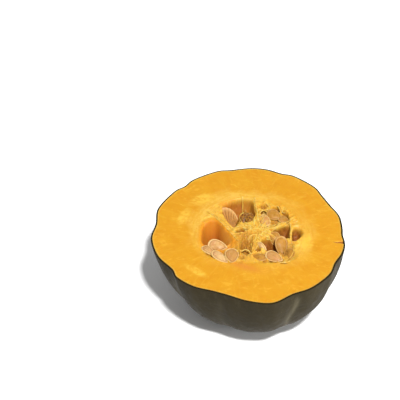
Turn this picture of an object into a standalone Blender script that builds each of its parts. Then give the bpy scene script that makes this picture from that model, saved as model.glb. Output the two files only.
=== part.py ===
"""Half of a kabocha squash, cut straight across, lying on its blossom end with the cut face up.

The half is one solid: rind, flesh, the fibres of the seed cavity and the seeds that hang in them grew
together. Units are metres with +Z up; sizes below are in millimetres unless they say otherwise. The origin is
under the middle of the outline, on the surface that the half rests on. Directions in the plan are in degrees,
counter-clockwise from +X.
"""

import math

import bmesh
import bpy
from mathutils import Matrix, Vector

MM = 0.001

# The half
FACE_HEIGHT = 78.0
# The ribs are fullest this far above the cut
WAIST_ABOVE_CUT = 18.0
PROFILE_POWER = 2.3
FOOT_FLATTENING = 2.0
# The cut isn't quite square to the core, so the blossom end lies to one side
BLOSSOM_LEAN = (6.4, -4.6)
# The cut's own outline fades out on the way to the foot, and even grooves take its place
OUTLINE_FADE = 0.85
GROOVES = (0, 27, 70, 103, 137, 177, 219, 252, 298, 335)
GROOVE_DEPTH = 2.2
GROOVE_SPREAD = 7.0
# Direction and radius of points round the cut, low in each groove and high on each rib
CUT_OUTLINE = (
    (0, 79.0), (6, 79.4), (15, 80.3), (21, 79.7), (27, 78.5), (38, 79.4), (47, 82.0), (62, 82.6), (70, 80.6),
    (80, 81.9), (90, 81.5), (103, 79.8), (112, 81.1), (128, 80.3), (137, 78.2), (145, 80.1), (163, 81.2),
    (177, 78.1), (190, 81.6), (205, 81.1), (219, 77.8), (226, 80.4), (238, 79.0), (250, 75.8), (260, 76.3),
    (272, 80.4), (285, 84.1), (298, 80.1), (310, 81.9), (325, 82.2), (335, 79.8), (344, 81.2), (352, 81.3),
)
OUTLINE_SPANS = 3
SKIN_RINGS = 12
FACE_INNER_RADIUS = 52.0

# The blossom scar under the half: a dimple in the flat foot
SCAR_RADIUS = 7.0
SCAR_FLOOR_RADIUS = 5.5
SCAR_DEPTH = 2.0

# Pockets between the septa of the seed cavity:
# depth, flatness of the floor, deepest point in the plan, outline in the plan
POCKETS = (
    # left pocket, wide and open
    (24, 2.0, (-27, -3), ((-38.6, 4), (-33.6, 11.2), (-26.6, 12.4), (-20.9, 3.2), (-14.2, -5.7), (-11.2, -12.5),
                          (-15, -19), (-24, -21), (-34, -19.5), (-39, -13))),
    # its shelf of seeds
    (4.4, 3.5, (-23, -25), ((-38.8, -14), (-30, -12), (-18, -13), (-9.8, -19), (-6.8, -32), (-11, -37.6),
                            (-20, -36.4), (-29, -33), (-36.8, -26))),
    # back pocket
    (20, 2.0, (-2, 24), ((-19, 31.5), (-14, 36), (-6, 38.5), (1, 37), (5.4, 29), (4.4, 15), (-1, 10.6),
                         (-7, 11.5), (-10, 20))),
    # its left shelf
    (6.5, 3.0, (-15, 19), ((-23.8, 27), (-18.5, 31), (-9, 25), (-6.5, 12.5), (-12.6, 3.8), (-17, 10))),
    # back right shelf of seeds
    (4.6, 3.5, (20, 17), ((7.8, 15), (10.5, 24.5), (18, 28.5), (27, 27), (32.4, 21), (30, 13), (20, 6), (12, 7))),
    # three hollows behind that shelf
    (9, 2.2, (13, 32), ((8.6, 31), (10, 36), (14.6, 36.4), (17, 32), (13, 27.6))),
    (9, 2.2, (22.5, 29.5), ((18.8, 29.5), (21, 33.2), (26, 31.2), (26.4, 26.6), (21, 25.6))),
    (10, 2.2, (31, 23), ((28, 29), (32, 27), (35, 20.5), (33.4, 16.6), (29.6, 20.4), (27.6, 25))),
    # right pockets
    (15, 2.0, (30.5, 1.5), ((21.4, 2.5), (28.8, 7.1), (35.6, 10.6), (36.0, 4.3), (34.6, -5), (27, -5), (22, -2))),
    (12, 2.0, (41, -1), ((38.4, 3.8), (42, 4.5), (45.4, 1.4), (43.8, -3.5), (38.2, -8.4), (37.4, -3))),
    # front right pocket
    (15, 2.0, (20, -14), ((13, -9), (19, -7.5), (25, -10), (27.8, -16.5), (26, -22), (18, -21.5), (12.2, -16))),
    # its shelf of seeds
    (4.4, 3.5, (23, -26.5), ((5.4, -28), (9, -21.5), (17, -19), (27, -17), (37.5, -14), (41.4, -22), (37, -31.4),
                             (21, -35.2), (10, -33.8))),
    # shallow recess in front of the core
    (5.5, 3.0, (-1.5, -16), ((-7, -6), (-1, -3.6), (3.4, -6), (4, -17), (3, -26.6), (-3, -28.2), (-6.8, -20))),
)
POCKET_LEVELS = (1.0, 0.86, 0.62, 0.32)
POCKET_POINTS_A_SPAN = 3
CUTTER_OVERSHOOT = 3.0

# Fibres across the cavity: radius, then points with their height above the cut face
STRANDS = (
    (0.75, ((-6.0, 41.5, -1.8), (-5.6, 33, -0.9), (-5.1, 22, -1.4), (-5.0, 8, -2.2))),
    (0.7, ((-2.0, 41.5, -2.6), (-6.5, 24, -3.6), (-9.0, 17, -3.2), (-7.6, 12, -2.2), (-3.5, 7, -2.4))),
    (0.8, ((6.2, 12, -2.2), (7.8, 20, -0.4), (12.0, 25.6, 0.4), (17.2, 27.0, -0.6), (21, 33.5, -2.5))),
    (0.8, ((12.6, 39.5, -1.8), (16.0, 34, -0.6), (18.6, 28.4, -1.2), (17, 22, -4.8))),
    (0.7, ((22.6, 36.5, -1.8), (25.0, 32, -0.8), (26.6, 28, -1.4), (27.6, 24, -4.0))),
    (0.9, ((34.4, 13.4, -1.6), (36.6, 6, -0.4), (36.4, 0, -1.0), (33.0, -7.5, -2.4))),
    (0.7, ((19.5, -5, -1.6), (15.2, -12, -1.2), (13.2, -18, -1.8), (9.0, -23.5, -2.2))),
    (0.7, ((21.5, -37.6, -1.6), (27, -34.8, -0.4), (33, -33.6, -0.4), (39.6, -27.6, -1.8))),
    (0.65, ((-9.5, -27, -2.0), (-6.2, -24, 0.3), (-3.0, -23.2, 0.5), (0.6, -25, 0.1), (3.4, -30.5, -2.0))),
    (0.7, ((-9.8, -12, -1.6), (-3.6, -12.8, -1.0), (1.2, -15.4, -1.6), (6, -21, -2.2))),
    (0.7, ((1.0, -1.2, -1.6), (0.2, -9, -1.2), (-2.0, -18, -2.0), (-2.2, -31, -2.2))),
)
STRAND_SIDES = 5
STRAND_SPANS = 3

# Seeds: place in the plan, height of the middle above the cut face, direction of the tip in the plan,
# dip of the tip, lift of the left side, length and width
SEEDS = (
    (-25.4, -16.6, -2.4, -10, 4, 30, 15.4, 10.2),
    (-32.5, -24.0, -2.2, -45, 0, -12, 13.0, 8.4),
    (-22.2, -31.6, 0.2, -43, 6, -34, 17.0, 9.6),
    (-12.2, -28.6, -1.2, -90, 5, 0, 16.4, 11.2),
    (-16.4, 23.5, -3.6, -26, 6, 42, 17.5, 9.8),
    (-16.2, 15.4, -4.4, -46, 6, 44, 14.5, 8.4),
    (2.4, 31.4, -11.2, -86, 54, 0, 14.5, 8.8),
    (-4.2, 30.4, -12.8, -95, 50, 60, 13.0, 7.6),
    (13.4, 17.6, -2.6, 104, -22, -6, 13.5, 9.4),
    (22.8, 24.6, -2.0, 12, 2, 24, 13.5, 9.0),
    (30.4, 19.0, -3.4, -64, 8, -10, 12.0, 8.4),
    (23.0, -2.4, -2.6, -96, 34, 0, 12.5, 8.8),
    (28.0, -13.4, -3.0, -80, 38, -4, 18.5, 10.6),
    (22.2, -27.4, -2.2, -26, 2, 14, 15.5, 10.2),
    (10.2, -27.6, -3.0, 172, 4, 8, 12.0, 9.2),
    (34.8, -22.6, -3.8, -76, 8, 14, 14.0, 8.8),
    (14.1, -17.6, -1.0, -46, 10, 66, 10.5, 5.0),
    (-5.8, 3.0, -2.2, 24, 4, 74, 11.5, 7.4),
)
SEED_THICKNESS = 3.4
SEED_EDGE = 0.9
SEED_TAPER = 0.3
SEED_FULLNESS = 2.2
SEED_SIDES = 14
SEED_LEVELS = (0.62, 1.0)

# A short crack in the rim, where the flesh split beside a groove
NICK_DIRECTION = -6.5
NICK_RADIUS = 81.0
NICK_LENGTH = 11.0
NICK_WIDTH = 1.4
NICK_DEPTH = 3.0

# Name, colour and roughness of each finish, in the order of the material slots
FINISHES = (
    ("rind", (0.045, 0.045, 0.032, 1.0), 0.5),
    ("flesh", (0.89, 0.44, 0.04, 1.0), 0.45),
    ("seed_coat", (0.82, 0.62, 0.36, 1.0), 0.4),
)
RIND, FLESH, SEED_COAT = 0, 1, 2
SHARP_EDGE = math.radians(40)


def material(name, color, roughness):
    """The finish of that name, made once."""
    found = bpy.data.materials.get(name)
    if found is None:
        found = bpy.data.materials.new(name)
        found.use_nodes = True
        shader = found.node_tree.nodes["Principled BSDF"]
        shader.inputs["Base Color"].default_value = color
        shader.inputs["Roughness"].default_value = roughness
        shader.inputs["Metallic"].default_value = 0.0
    return found


def solid(name, points, faces, finish_of_face):
    """A new object from points in millimetres, with its normals facing out and a finish for each face."""
    mesh = bpy.data.meshes.new(name)
    mesh.from_pydata([Vector(p) * MM for p in points], [], faces)
    for finish in FINISHES:
        mesh.materials.append(material(*finish))
    mesh.polygons.foreach_set("material_index", finish_of_face)
    work = bmesh.new()
    work.from_mesh(mesh)
    bmesh.ops.recalc_face_normals(work, faces=work.faces)
    work.to_mesh(mesh)
    work.free()
    made = bpy.data.objects.new(name, mesh)
    bpy.context.scene.collection.objects.link(made)
    return made


def band(first, second, count):
    """Quads between two rings of points that start at those indices."""
    return [
        (first + i, first + (i + 1) % count, second + (i + 1) % count, second + i)
        for i in range(count)
    ]


def cut_outline():
    """Points of the cut outline in the plan, on a smooth curve through the measured ones."""
    measured = [ring_point(radius, direction, 0) for direction, radius in CUT_OUTLINE]
    return smooth_through(measured, OUTLINE_SPANS, closed=True)


def skin_level(step):
    """Height, and share of the cut outline, at a step that runs from 0 at the cut to 1 at the flat foot."""
    reach = FACE_HEIGHT + WAIST_ABOVE_CUT + FOOT_FLATTENING
    top = math.asin((WAIST_ABOVE_CUT / reach) ** (PROFILE_POWER / 2))
    foot = math.asin(((WAIST_ABOVE_CUT + FACE_HEIGHT) / reach) ** (PROFILE_POWER / 2))
    turn = top + (foot - top) * step
    share = (math.cos(turn) / math.cos(top)) ** (2 / PROFILE_POWER)
    return FACE_HEIGHT + WAIST_ABOVE_CUT - reach * math.sin(turn) ** (2 / PROFILE_POWER), share


def groove_share(direction):
    """How deep in a groove that direction is: 1 in its bottom, and near 0 on a rib."""
    turns = [(direction - groove + 180) % 360 - 180 for groove in GROOVES]
    return sum(math.exp(-((turn / GROOVE_SPREAD) ** 2)) for turn in turns)


def skin_points():
    """Rings of points on the rind, from the cut down to the flat foot, centred in the plan."""
    outline = cut_outline()
    mean = sum(p.length for p in outline) / len(outline)
    grooves = [GROOVE_DEPTH * groove_share(math.degrees(math.atan2(p.y, p.x))) for p in outline]
    points = []
    for k in range(SKIN_RINGS + 1):
        height, share = skin_level(k / SKIN_RINGS)
        below = 1 - height / FACE_HEIGHT
        middle = Vector((*BLOSSOM_LEAN, 0)) * below + Vector((0, 0, height))
        for rim, groove in zip(outline, grooves):
            radius = mean + (rim.length - mean) * (1 - OUTLINE_FADE * below) - groove * below
            points.append(middle + rim.normalized() * radius * share)
    across = [p.x for p in points]
    away = [p.y for p in points]
    middle = Vector(((min(across) + max(across)) / 2, (min(away) + max(away)) / 2, 0))
    return [p - middle for p in points]


def uncut_half():
    """The ribbed bowl with its flat cut face, its flat foot and the blossom scar."""
    points = skin_points()
    count = len(points) // (SKIN_RINGS + 1)
    faces = []
    for k in range(SKIN_RINGS):
        faces += band(k * count, (k + 1) * count, count)
    foot = points[-count:]
    pole = sum(foot, Vector()) / count
    around = [360 * i / count for i in range(count)]
    last = SKIN_RINGS * count
    for radius, height in ((SCAR_RADIUS, 0.0), (SCAR_FLOOR_RADIUS, SCAR_DEPTH)):
        first = len(points)
        points += [pole + ring_point(radius, d, height) for d in around]
        faces += band(last, first, count)
        last = first
    faces.append(tuple(range(last, last + count)))
    finish_of_face = [RIND] * len(faces)
    first = len(points)
    points += [ring_point(FACE_INNER_RADIUS, d, FACE_HEIGHT) for d in around]
    faces += band(0, first, count)
    faces.append(tuple(range(first, first + count)))
    finish_of_face += [FLESH] * (count + 1)
    return solid("squash_half", points, faces, finish_of_face)


def ring_point(radius, direction, height):
    angle = math.radians(direction)
    return Vector((radius * math.cos(angle), radius * math.sin(angle), height))


def smooth_through(points, spans, closed):
    """Points on a smooth curve through the given ones, with that many steps between neighbours."""
    points = [Vector(p) for p in points]
    count = len(points)
    made = []
    for i in range(count if closed else count - 1):
        if closed:
            a, b, c, d = (points[(i + k) % count] for k in (-1, 0, 1, 2))
        else:
            a, b, c, d = (points[min(max(i + k, 0), count - 1)] for k in (-1, 0, 1, 2))
        for k in range(spans):
            t = k / spans
            made.append(
                0.5 * (2 * b + (c - a) * t + (2 * a - 5 * b + 4 * c - d) * t * t + (3 * b - a - 3 * c + d) * t**3)
            )
    if not closed:
        made.append(points[-1])
    return made


def pocket_cutter(number, depth, flatness, deepest, outline):
    """The hollow of one pocket: its outline shrinks towards the deepest point on the way down."""
    edge = smooth_through([(x, y, 0) for x, y in outline], POCKET_POINTS_A_SPAN, closed=True)
    middle = Vector((*deepest, 0))
    count = len(edge)
    points = [p + Vector((0, 0, FACE_HEIGHT + CUTTER_OVERSHOOT)) for p in edge]
    faces = [tuple(range(count))]
    for level in POCKET_LEVELS:
        height = FACE_HEIGHT - depth * (1 - level**flatness)
        faces += band(len(points) - count, len(points), count)
        points += [middle + (p - middle) * level + Vector((0, 0, height)) for p in edge]
    last = len(points) - count
    points.append(middle + Vector((0, 0, FACE_HEIGHT - depth)))
    faces += [(last + i, last + (i + 1) % count, len(points) - 1) for i in range(count)]
    return solid(f"pocket_{number}", points, faces, [FLESH] * len(faces))


def strand(number, radius, route):
    """One fibre: a slim tube along its route, with both ends sunk in the flesh."""
    path = [p + Vector((0, 0, FACE_HEIGHT)) for p in smooth_through(route, STRAND_SPANS, closed=False)]
    points, faces = [], []
    for i, place in enumerate(path):
        ahead = (path[min(i + 1, len(path) - 1)] - path[max(i - 1, 0)]).normalized()
        side = ahead.cross(Vector((0, 0, 1))).normalized()
        up = side.cross(ahead)
        for k in range(STRAND_SIDES):
            turn = 2 * math.pi * k / STRAND_SIDES
            points.append(place + (side * math.cos(turn) + up * math.sin(turn)) * radius)
        if i:
            faces += band((i - 1) * STRAND_SIDES, i * STRAND_SIDES, STRAND_SIDES)
    faces.append(tuple(range(STRAND_SIDES)))
    faces.append(tuple(range(len(points) - STRAND_SIDES, len(points))))
    return solid(f"strand_{number}", points, faces, [FLESH] * len(faces))


def seed(number, across, away, lift, heading, dip, roll, length, width):
    """A flat teardrop seed with domed faces and a thin edge, sunk in the pulp that it hangs in."""
    outline = []
    for i in range(SEED_SIDES):
        turn = 2 * math.pi * i / SEED_SIDES
        taper = 1 - SEED_TAPER * math.cos(turn)
        outline.append(Vector((length / 2 * math.cos(turn), width / 2 * math.sin(turn) * taper, 0)))
    points, faces = [], []
    for side in (1, -1):
        middle = len(points)
        points.append(Vector((0, 0, side * SEED_THICKNESS / 2)))
        for level in SEED_LEVELS:
            height = SEED_EDGE / 2 + (SEED_THICKNESS - SEED_EDGE) / 2 * (1 - level**SEED_FULLNESS)
            points += [p * level + Vector((0, 0, side * height)) for p in outline]
        faces += [(middle, middle + 1 + i, middle + 1 + (i + 1) % SEED_SIDES) for i in range(SEED_SIDES)]
        for k in range(len(SEED_LEVELS) - 1):
            first = middle + 1 + k * SEED_SIDES
            faces += band(first, first + SEED_SIDES, SEED_SIDES)
    rim = 1 + (len(SEED_LEVELS) - 1) * SEED_SIDES
    faces += band(rim, rim + len(points) // 2, SEED_SIDES)
    pose = (
        Matrix.Translation((across, away, FACE_HEIGHT + lift))
        @ Matrix.Rotation(math.radians(heading), 4, "Z")
        @ Matrix.Rotation(math.radians(dip), 4, "Y")
        @ Matrix.Rotation(math.radians(roll), 4, "X")
    )
    return solid(f"seed_{number}", [pose @ p for p in points], faces, [SEED_COAT] * len(faces))


def rim_nick():
    """A narrow wedge through the rim of the cut face."""
    outer = NICK_RADIUS + CUTTER_OVERSHOOT
    inner = NICK_RADIUS - NICK_LENGTH
    corners = (
        (inner, 0, CUTTER_OVERSHOOT),
        (outer, -NICK_WIDTH, CUTTER_OVERSHOOT),
        (outer, NICK_WIDTH, CUTTER_OVERSHOOT),
        (outer, 0, -NICK_DEPTH),
    )
    turn = Matrix.Rotation(math.radians(NICK_DIRECTION), 4, "Z")
    points = [turn @ Vector(c) + Vector((0, 0, FACE_HEIGHT)) for c in corners]
    faces = [(0, 1, 2), (0, 3, 1), (0, 2, 3), (1, 3, 2)]
    return solid("rim_nick", points, faces, [FLESH] * len(faces))


def combine(body, tools, operation):
    """Joins the tools to the body, or cuts them from it, and removes them."""
    group = bpy.data.collections.new("tools")
    bpy.context.scene.collection.children.link(group)
    for tool in tools:
        bpy.context.scene.collection.objects.unlink(tool)
        group.objects.link(tool)
    step = body.modifiers.new("combine", "BOOLEAN")
    step.operation = operation
    step.operand_type = "COLLECTION"
    step.collection = group
    step.solver = "EXACT"
    step.use_self = operation == "UNION"
    bpy.context.view_layer.objects.active = body
    bpy.ops.object.modifier_apply(modifier=step.name)
    for tool in tools:
        bpy.data.objects.remove(tool)
    bpy.data.collections.remove(group)


def build():
    for old in list(bpy.data.objects):
        bpy.data.objects.remove(old)
    half = uncut_half()
    pockets = [pocket_cutter(number, *pocket) for number, pocket in enumerate(POCKETS, 1)]
    combine(half, [*pockets, rim_nick()], "DIFFERENCE")
    strands = [strand(number, *fibre) for number, fibre in enumerate(STRANDS, 1)]
    seeds = [seed(number, *place) for number, place in enumerate(SEEDS, 1)]
    combine(half, strands + seeds, "UNION")
    half.data.shade_smooth()
    half.data.set_sharp_from_angle(angle=SHARP_EDGE)


build()
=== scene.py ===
"""Looks for a half kabocha squash: rind, cut flesh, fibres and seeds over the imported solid, as an add-on.

The frame is in metres with +Z up. Sizes in this file are in millimetres, heights named "below" or "lift" are
measured from the cut face, and directions in the plan are in degrees, counter-clockwise from +X.
"""

import math
from functools import lru_cache
from typing import NamedTuple

import bpy
import numpy as np
from bpy.props import FloatProperty, FloatVectorProperty, IntProperty, PointerProperty
from mathutils import Matrix, Vector
from mathutils.bvhtree import BVHTree


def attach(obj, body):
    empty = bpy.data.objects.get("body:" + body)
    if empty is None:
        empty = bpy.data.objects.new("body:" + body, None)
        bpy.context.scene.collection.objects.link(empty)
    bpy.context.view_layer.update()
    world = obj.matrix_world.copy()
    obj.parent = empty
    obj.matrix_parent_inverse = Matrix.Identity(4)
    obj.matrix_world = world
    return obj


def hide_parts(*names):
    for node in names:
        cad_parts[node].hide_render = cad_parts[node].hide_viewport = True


bl_info = {
    "name": "Half kabocha squash",
    "version": (1, 0, 0),
    "blender": (4, 5, 0),
    "location": "3D View > Sidebar > Squash",
    "description": "Builds the rind, cut flesh, fibres and seeds of a half kabocha squash",
    "category": "Object",
}

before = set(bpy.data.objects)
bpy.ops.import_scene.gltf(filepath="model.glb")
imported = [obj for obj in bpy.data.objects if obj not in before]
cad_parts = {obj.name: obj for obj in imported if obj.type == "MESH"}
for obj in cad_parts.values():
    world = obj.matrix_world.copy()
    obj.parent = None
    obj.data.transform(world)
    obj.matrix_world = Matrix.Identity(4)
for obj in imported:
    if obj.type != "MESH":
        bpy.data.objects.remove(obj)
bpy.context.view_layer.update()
NODE = "squash_half"
BODY = "root"
MM = 0.001

# The half, as the solid has it
FACE_HEIGHT = 78.0
WAIST_ABOVE_CUT = 18.0
PROFILE_POWER = 2.3
FOOT_FLATTENING = 2.0
MEAN_RADIUS = 80.25
GROOVE_DEPTH = 2.2
BLOSSOM_LEAN = (6.4, -4.6)
OUTLINE_FADE = 0.85
GROOVES = (0, 27, 70, 103, 137, 177, 219, 252, 298, 335)
GROOVE_SPREAD = 7.0
# A painted highlight down one groove and a paler line down another: direction and spread
GROOVE_HIGHLIGHT = (299, 1.8)
WEAK_STREAK = (217, 3.0)
CUT_OUTLINE = (
    (0, 79.0), (6, 79.4), (15, 80.3), (21, 79.7), (27, 78.5), (38, 79.4), (47, 82.0), (62, 82.6), (70, 80.6),
    (80, 81.9), (90, 81.5), (103, 79.8), (112, 81.1), (128, 80.3), (137, 78.2), (145, 80.1), (163, 81.2),
    (177, 78.1), (190, 81.6), (205, 81.1), (219, 77.8), (226, 80.4), (238, 79.0), (250, 75.8), (260, 76.3),
    (272, 80.4), (285, 84.1), (298, 80.1), (310, 81.9), (325, 82.2), (335, 79.8), (344, 81.2), (352, 81.3),
)
SCAR_RADIUS = 7.0
SCAR_FLOOR_RADIUS = 5.5
SCAR_DEPTH = 2.0
NICK_DIRECTION = -6.5
NICK_LENGTH = 11.0
NICK_WIDTH = 2.0
NICK_DEPTH = 3.0
NICK_HALF_ANGLE = 1.1
# Rings of the rind's cut edge: how far inside of the skin, in thicknesses, and drop under the cut
CUT_RINGS = ((1.0, 0.05), (0.45, 0.08), (0.08, 0.14))
SKIN_DROP = 0.3
SKIN_SWELL = 0.35
SKIN_GRAIN = 0.1
INNER_STEPS = (0.98, 0.8, 0.6, 0.4, 0.2)

# Pockets between the septa: depth, flatness of the floor, deepest point, outline
POCKETS = {
    "left": (24, 2.0, (-27, -3), (
        (-38.6, 4), (-33.6, 11), (-28.2, 12.4), (-24, 9), (-19.6, 2.6), (-14.2, -5), (-11.2, -12.5),
        (-15, -19), (-24, -21), (-34, -19.5), (-39, -13),
    )),
    "left_shelf": (3.8, 3.5, (-23, -25), (
        (-38.8, -14), (-30, -12), (-18, -13), (-9.8, -19), (-6.8, -32), (-11, -37.6), (-20, -36.4),
        (-29, -33), (-36.8, -26),
    )),
    "back": (20, 2.0, (-2, 24), (
        (-24.5, 31), (-20, 36), (-14, 39), (-6, 40.5), (1, 39), (5.6, 30), (4.4, 15), (-1, 10.6), (-7, 11.5),
        (-10, 20),
    )),
    "back_left_shelf": (6.5, 3.0, (-15, 19), (
        (-23.8, 27), (-18.5, 31), (-9, 25), (-6.5, 12.5), (-12.6, 3.8), (-17, 10),
    )),
    "back_right_shelf": (3.6, 3.5, (20, 17), (
        (7.8, 15), (10.5, 24.5), (18, 28.5), (27, 27), (32.4, 21), (30, 13), (20, 6), (12, 7),
    )),
    "hollow_1": (5, 2.0, (13, 32), ((8.6, 31), (10, 36), (14.6, 36.4), (17, 32), (13, 27.6))),
    "hollow_2": (6, 2.0, (22.5, 29.5), ((18.8, 29.5), (21, 33.2), (26, 31.2), (26.4, 26.6), (21, 25.6))),
    "hollow_3": (8, 2.0, (31, 23), ((28, 29), (32, 27), (35, 20.5), (33.4, 16.6), (29.6, 20.4), (27.6, 25))),
    "right": (13, 1.9, (29, 1.5), (
        (17.5, 4), (24, 7.6), (29.6, 11), (34.4, 12.6), (35.3, 4.3), (34.8, -5), (27, -6), (20.6, -1.6),
    )),
    "far_right": (10, 1.7, (39.5, -1.5), (
        (36.5, 5.6), (39.6, 8.2), (44.2, 6), (46, 1), (43.8, -4.8), (37.4, -9.4), (36, -3),
    )),
    "front_right": (15, 2.0, (20, -14), (
        (11.4, -8.4), (18, -5.6), (25, -8.6), (27.8, -16.5), (26, -22), (18, -21.5), (11.2, -16),
    )),
    "front_shelf": (3.7, 3.5, (23, -26.5), (
        (5.4, -28), (9, -21.5), (17, -19), (27, -17), (37.5, -14), (41.4, -22), (37, -31.4), (21, -35.2),
        (10, -33.8),
    )),
    "core_recess": (5.5, 3.0, (-1.5, -16), (
        (-7, -6), (-1, -3.6), (3.4, -6), (4, -17), (3, -26.6), (-3, -28.2), (-6.8, -20),
    )),
}
# Width of the soft lip between two pockets, how far their outlines wander, and their lowest place
POCKET_LIP = 0.4
POCKET_WANDER = 0.7
POCKET_LOWEST = -40
# The pocket with the smooth wall: the share of its outline that doesn't wander, how much of its depth is lost
# towards the right, from where to where, and how steep its wall is
SMOOTH_POCKET = "left"
SMOOTH_SHARE = 0.75
SMOOTH_RISE = 0.72
SMOOTH_RISE_FROM, SMOOTH_RISE_TO = -32.0, -10.0
SMOOTH_STEEPNESS = 1.3

# Painted shade in these pockets: how much darker than the others they are
SHADED_POCKETS = {
    "right": 0.9, "far_right": 1.0, "front_right": 0.9, "hollow_1": 0.3, "hollow_2": 0.2, "hollow_3": 0.6,
}

# Small hollows between the fibres: depth, darkness of their painted shade, middle, half sizes, direction of
# the long side
HOLLOWS = (
    (4.6, 0.9, (-5.8, 0.8), (6.4, 2.5), 27),
    (6.0, 1.0, (13.0, 25.4), (5.0, 2.6), 4),
    (3.5, 0.7, (8.6, -20.0), (2.8, 3.0), 0),
    (7.0, 1.6, (-5.8, 18.0), (2.2, 4.6), 0),
    (1.8, 0.4, (35.2, -15.0), (3.4, 5.6), -20),
    (1.2, 0.3, (30.0, -34.0), (5.0, 2.4), 10),
    (1.0, 0.35, (-5.2, -31.0), (4.2, 2.8), 0),
    (1.0, 0.25, (19.6, 4.8), (5.0, 2.2), 12),
)

# Yellower patches of the flesh: middle, half sizes, direction of the long side
YELLOW_PATCHES = (
    ((-40.5, -48.6), (13.0, 4.0), -36),
    ((49.0, -11.0), (11.0, 6.0), 80),
    ((-41.0, 37.0), (14.0, 7.0), 32),
    ((-55.0, 14.0), (12.0, 5.0), 70),
)

# Fibres across the cavity: radius, then points with their lift
STRANDS = (
    (0.6, ((-6.2, 42.4, 0.0), (-6.0, 40.4, -0.2), (-5.9, 39.2, -2.2), (-5.8, 38.0, -4.8), (-5.7, 36.4, -7.8),
           (-5.5, 33.6, -11.4))),
    (0.45, ((-4.6, 26.0, -3.4), (-6.8, 22.6, -2.4), (-7.6, 18.6, -1.9), (-6.4, 14, -1.9), (-3.6, 9.5, -2.2))),
    (0.6, ((6.2, 12, -2.2), (7.6, 18.6, -0.8), (9.2, 23.6, 0.0), (12.6, 26.0, 0.2), (16.6, 24.4, -1.0))),
    (0.8, ((12.6, 39.5, -1.8), (16.0, 34, -0.6), (18.6, 28.4, -1.2), (17, 22, -4.8))),
    (0.7, ((22.6, 36.5, -1.8), (25.0, 32, -0.8), (26.6, 28, -1.4), (27.6, 24, -4.0))),
    (0.9, ((34.6, 14.0, -1.2), (35.8, 6, -0.7), (35.8, 0, -0.9), (35.4, -7.5, -1.0))),
    (0.7, ((21.5, -37.6, -1.6), (27, -34.8, -0.4), (33, -33.6, -0.4), (39.6, -27.6, -1.8))),
    (0.6, ((-9.5, -26, -1.6), (-7.2, -23, 0.0), (-4.6, -24.4, 0.3), (-2.0, -22.2, 0.3), (1.2, -23.6, 0.0),
           (3.4, -28.0, -1.6))),
    (0.35, ((1.8, -1.2, -1.6), (3.6, -9, -1.4), (3.0, -18, -1.6), (3.6, -27, -1.8))),
)


class Seed(NamedTuple):
    """Place in the plan, lift of the middle, direction of the tip, dip of the tip, lift of the left side,
    length, width, and tone from 0 (pink and pale) to 1 (olive under its film) and above (browner: painted
    shade)"""

    x: float
    y: float
    lift: float
    heading: float
    dip: float
    roll: float
    length: float
    width: float
    tone: float


SEEDS = (
    Seed(-24.8, -16.6, -2.4, -10, 4, 30, 16.6, 10.2, 0.24),
    Seed(-32.0, -23.0, -2.0, -45, 0, -12, 14.0, 8.6, 0.26),
    Seed(-22.2, -31.2, -1.0, -43, 5, -12, 17.4, 9.4, 0.0),
    Seed(-12.4, -28.8, -1.4, -84, 5, 0, 16.0, 11.6, 0.5),
    Seed(-16.4, 19.5, -6.6, -40, 6, 40, 13.0, 7.6, 1.0),
    Seed(-15.6, 13.4, -6.4, -46, 6, 44, 12.0, 7.0, 1.0),
    # These two lie deep in the back pocket: their tones above 1 paint its shade on them
    Seed(1.4, 24.4, -9.6, -72, 24, 14, 12.5, 7.6, 1.25),
    Seed(-3.4, 26.4, -11.6, -104, 30, -26, 12.0, 7.0, 1.35),
    Seed(13.4, 15.9, -1.8, 104, -18, -6, 12.6, 9.4, 0.46),
    Seed(21.6, 22.0, -1.2, -30, 4, 16, 14.0, 10.2, 0.92),
    Seed(30.0, 17.0, -2.4, -52, 8, -6, 12.5, 8.8, 0.84),
    Seed(22.0, -3.6, -3.4, -100, 34, 0, 11.5, 8.6, 0.9),
    Seed(28.0, -13.6, -2.8, -80, 36, -4, 18.0, 10.4, 0.86),
    Seed(22.0, -26.8, -2.2, -26, 4, 12, 15.5, 9.8, 0.5),
    Seed(10.2, -27.6, -2.8, 172, 4, 8, 12.0, 9.2, 0.9),
    Seed(34.8, -22.6, -3.0, -76, 8, 14, 13.0, 8.8, 1.0),
    Seed(11.8, -16.8, -0.8, -42, 10, 56, 10.0, 5.0, 0.0),
)
# Shape of a seed: its edge is how thick it is there, and its taper how much narrower the tip is
SEED_THICKNESS = 3.4
SEED_EDGE = 0.9
SEED_TAPER = 0.3
SEED_RIM_HEIGHT = 0.3
SEED_FURROW_DEPTH = 0.14
SEED_AROUND = 72
SEED_RINGS = 20
# The bed under a seed: how far it reaches in seed lengths, its gap, the share of the seed where its side
# starts, how steep that is, and how deep it may lie
BED_REACH = 0.62
BED_GAP = 0.5
BED_EDGE = 0.955
BED_STEEPNESS = 9
BED_DEEPEST = 24
# The lip round the bed: its height, the share of the seed where it lies, its spread, and its deepest place
BED_LIP = 0.55
BED_LIP_AT, BED_LIP_SPREAD = 1.12, 0.07
BED_LIP_DEEPEST = 9
# Seeds of a tone above this one are left half sunk in the pulp
EMBEDDED_TONE = 0.99

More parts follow.
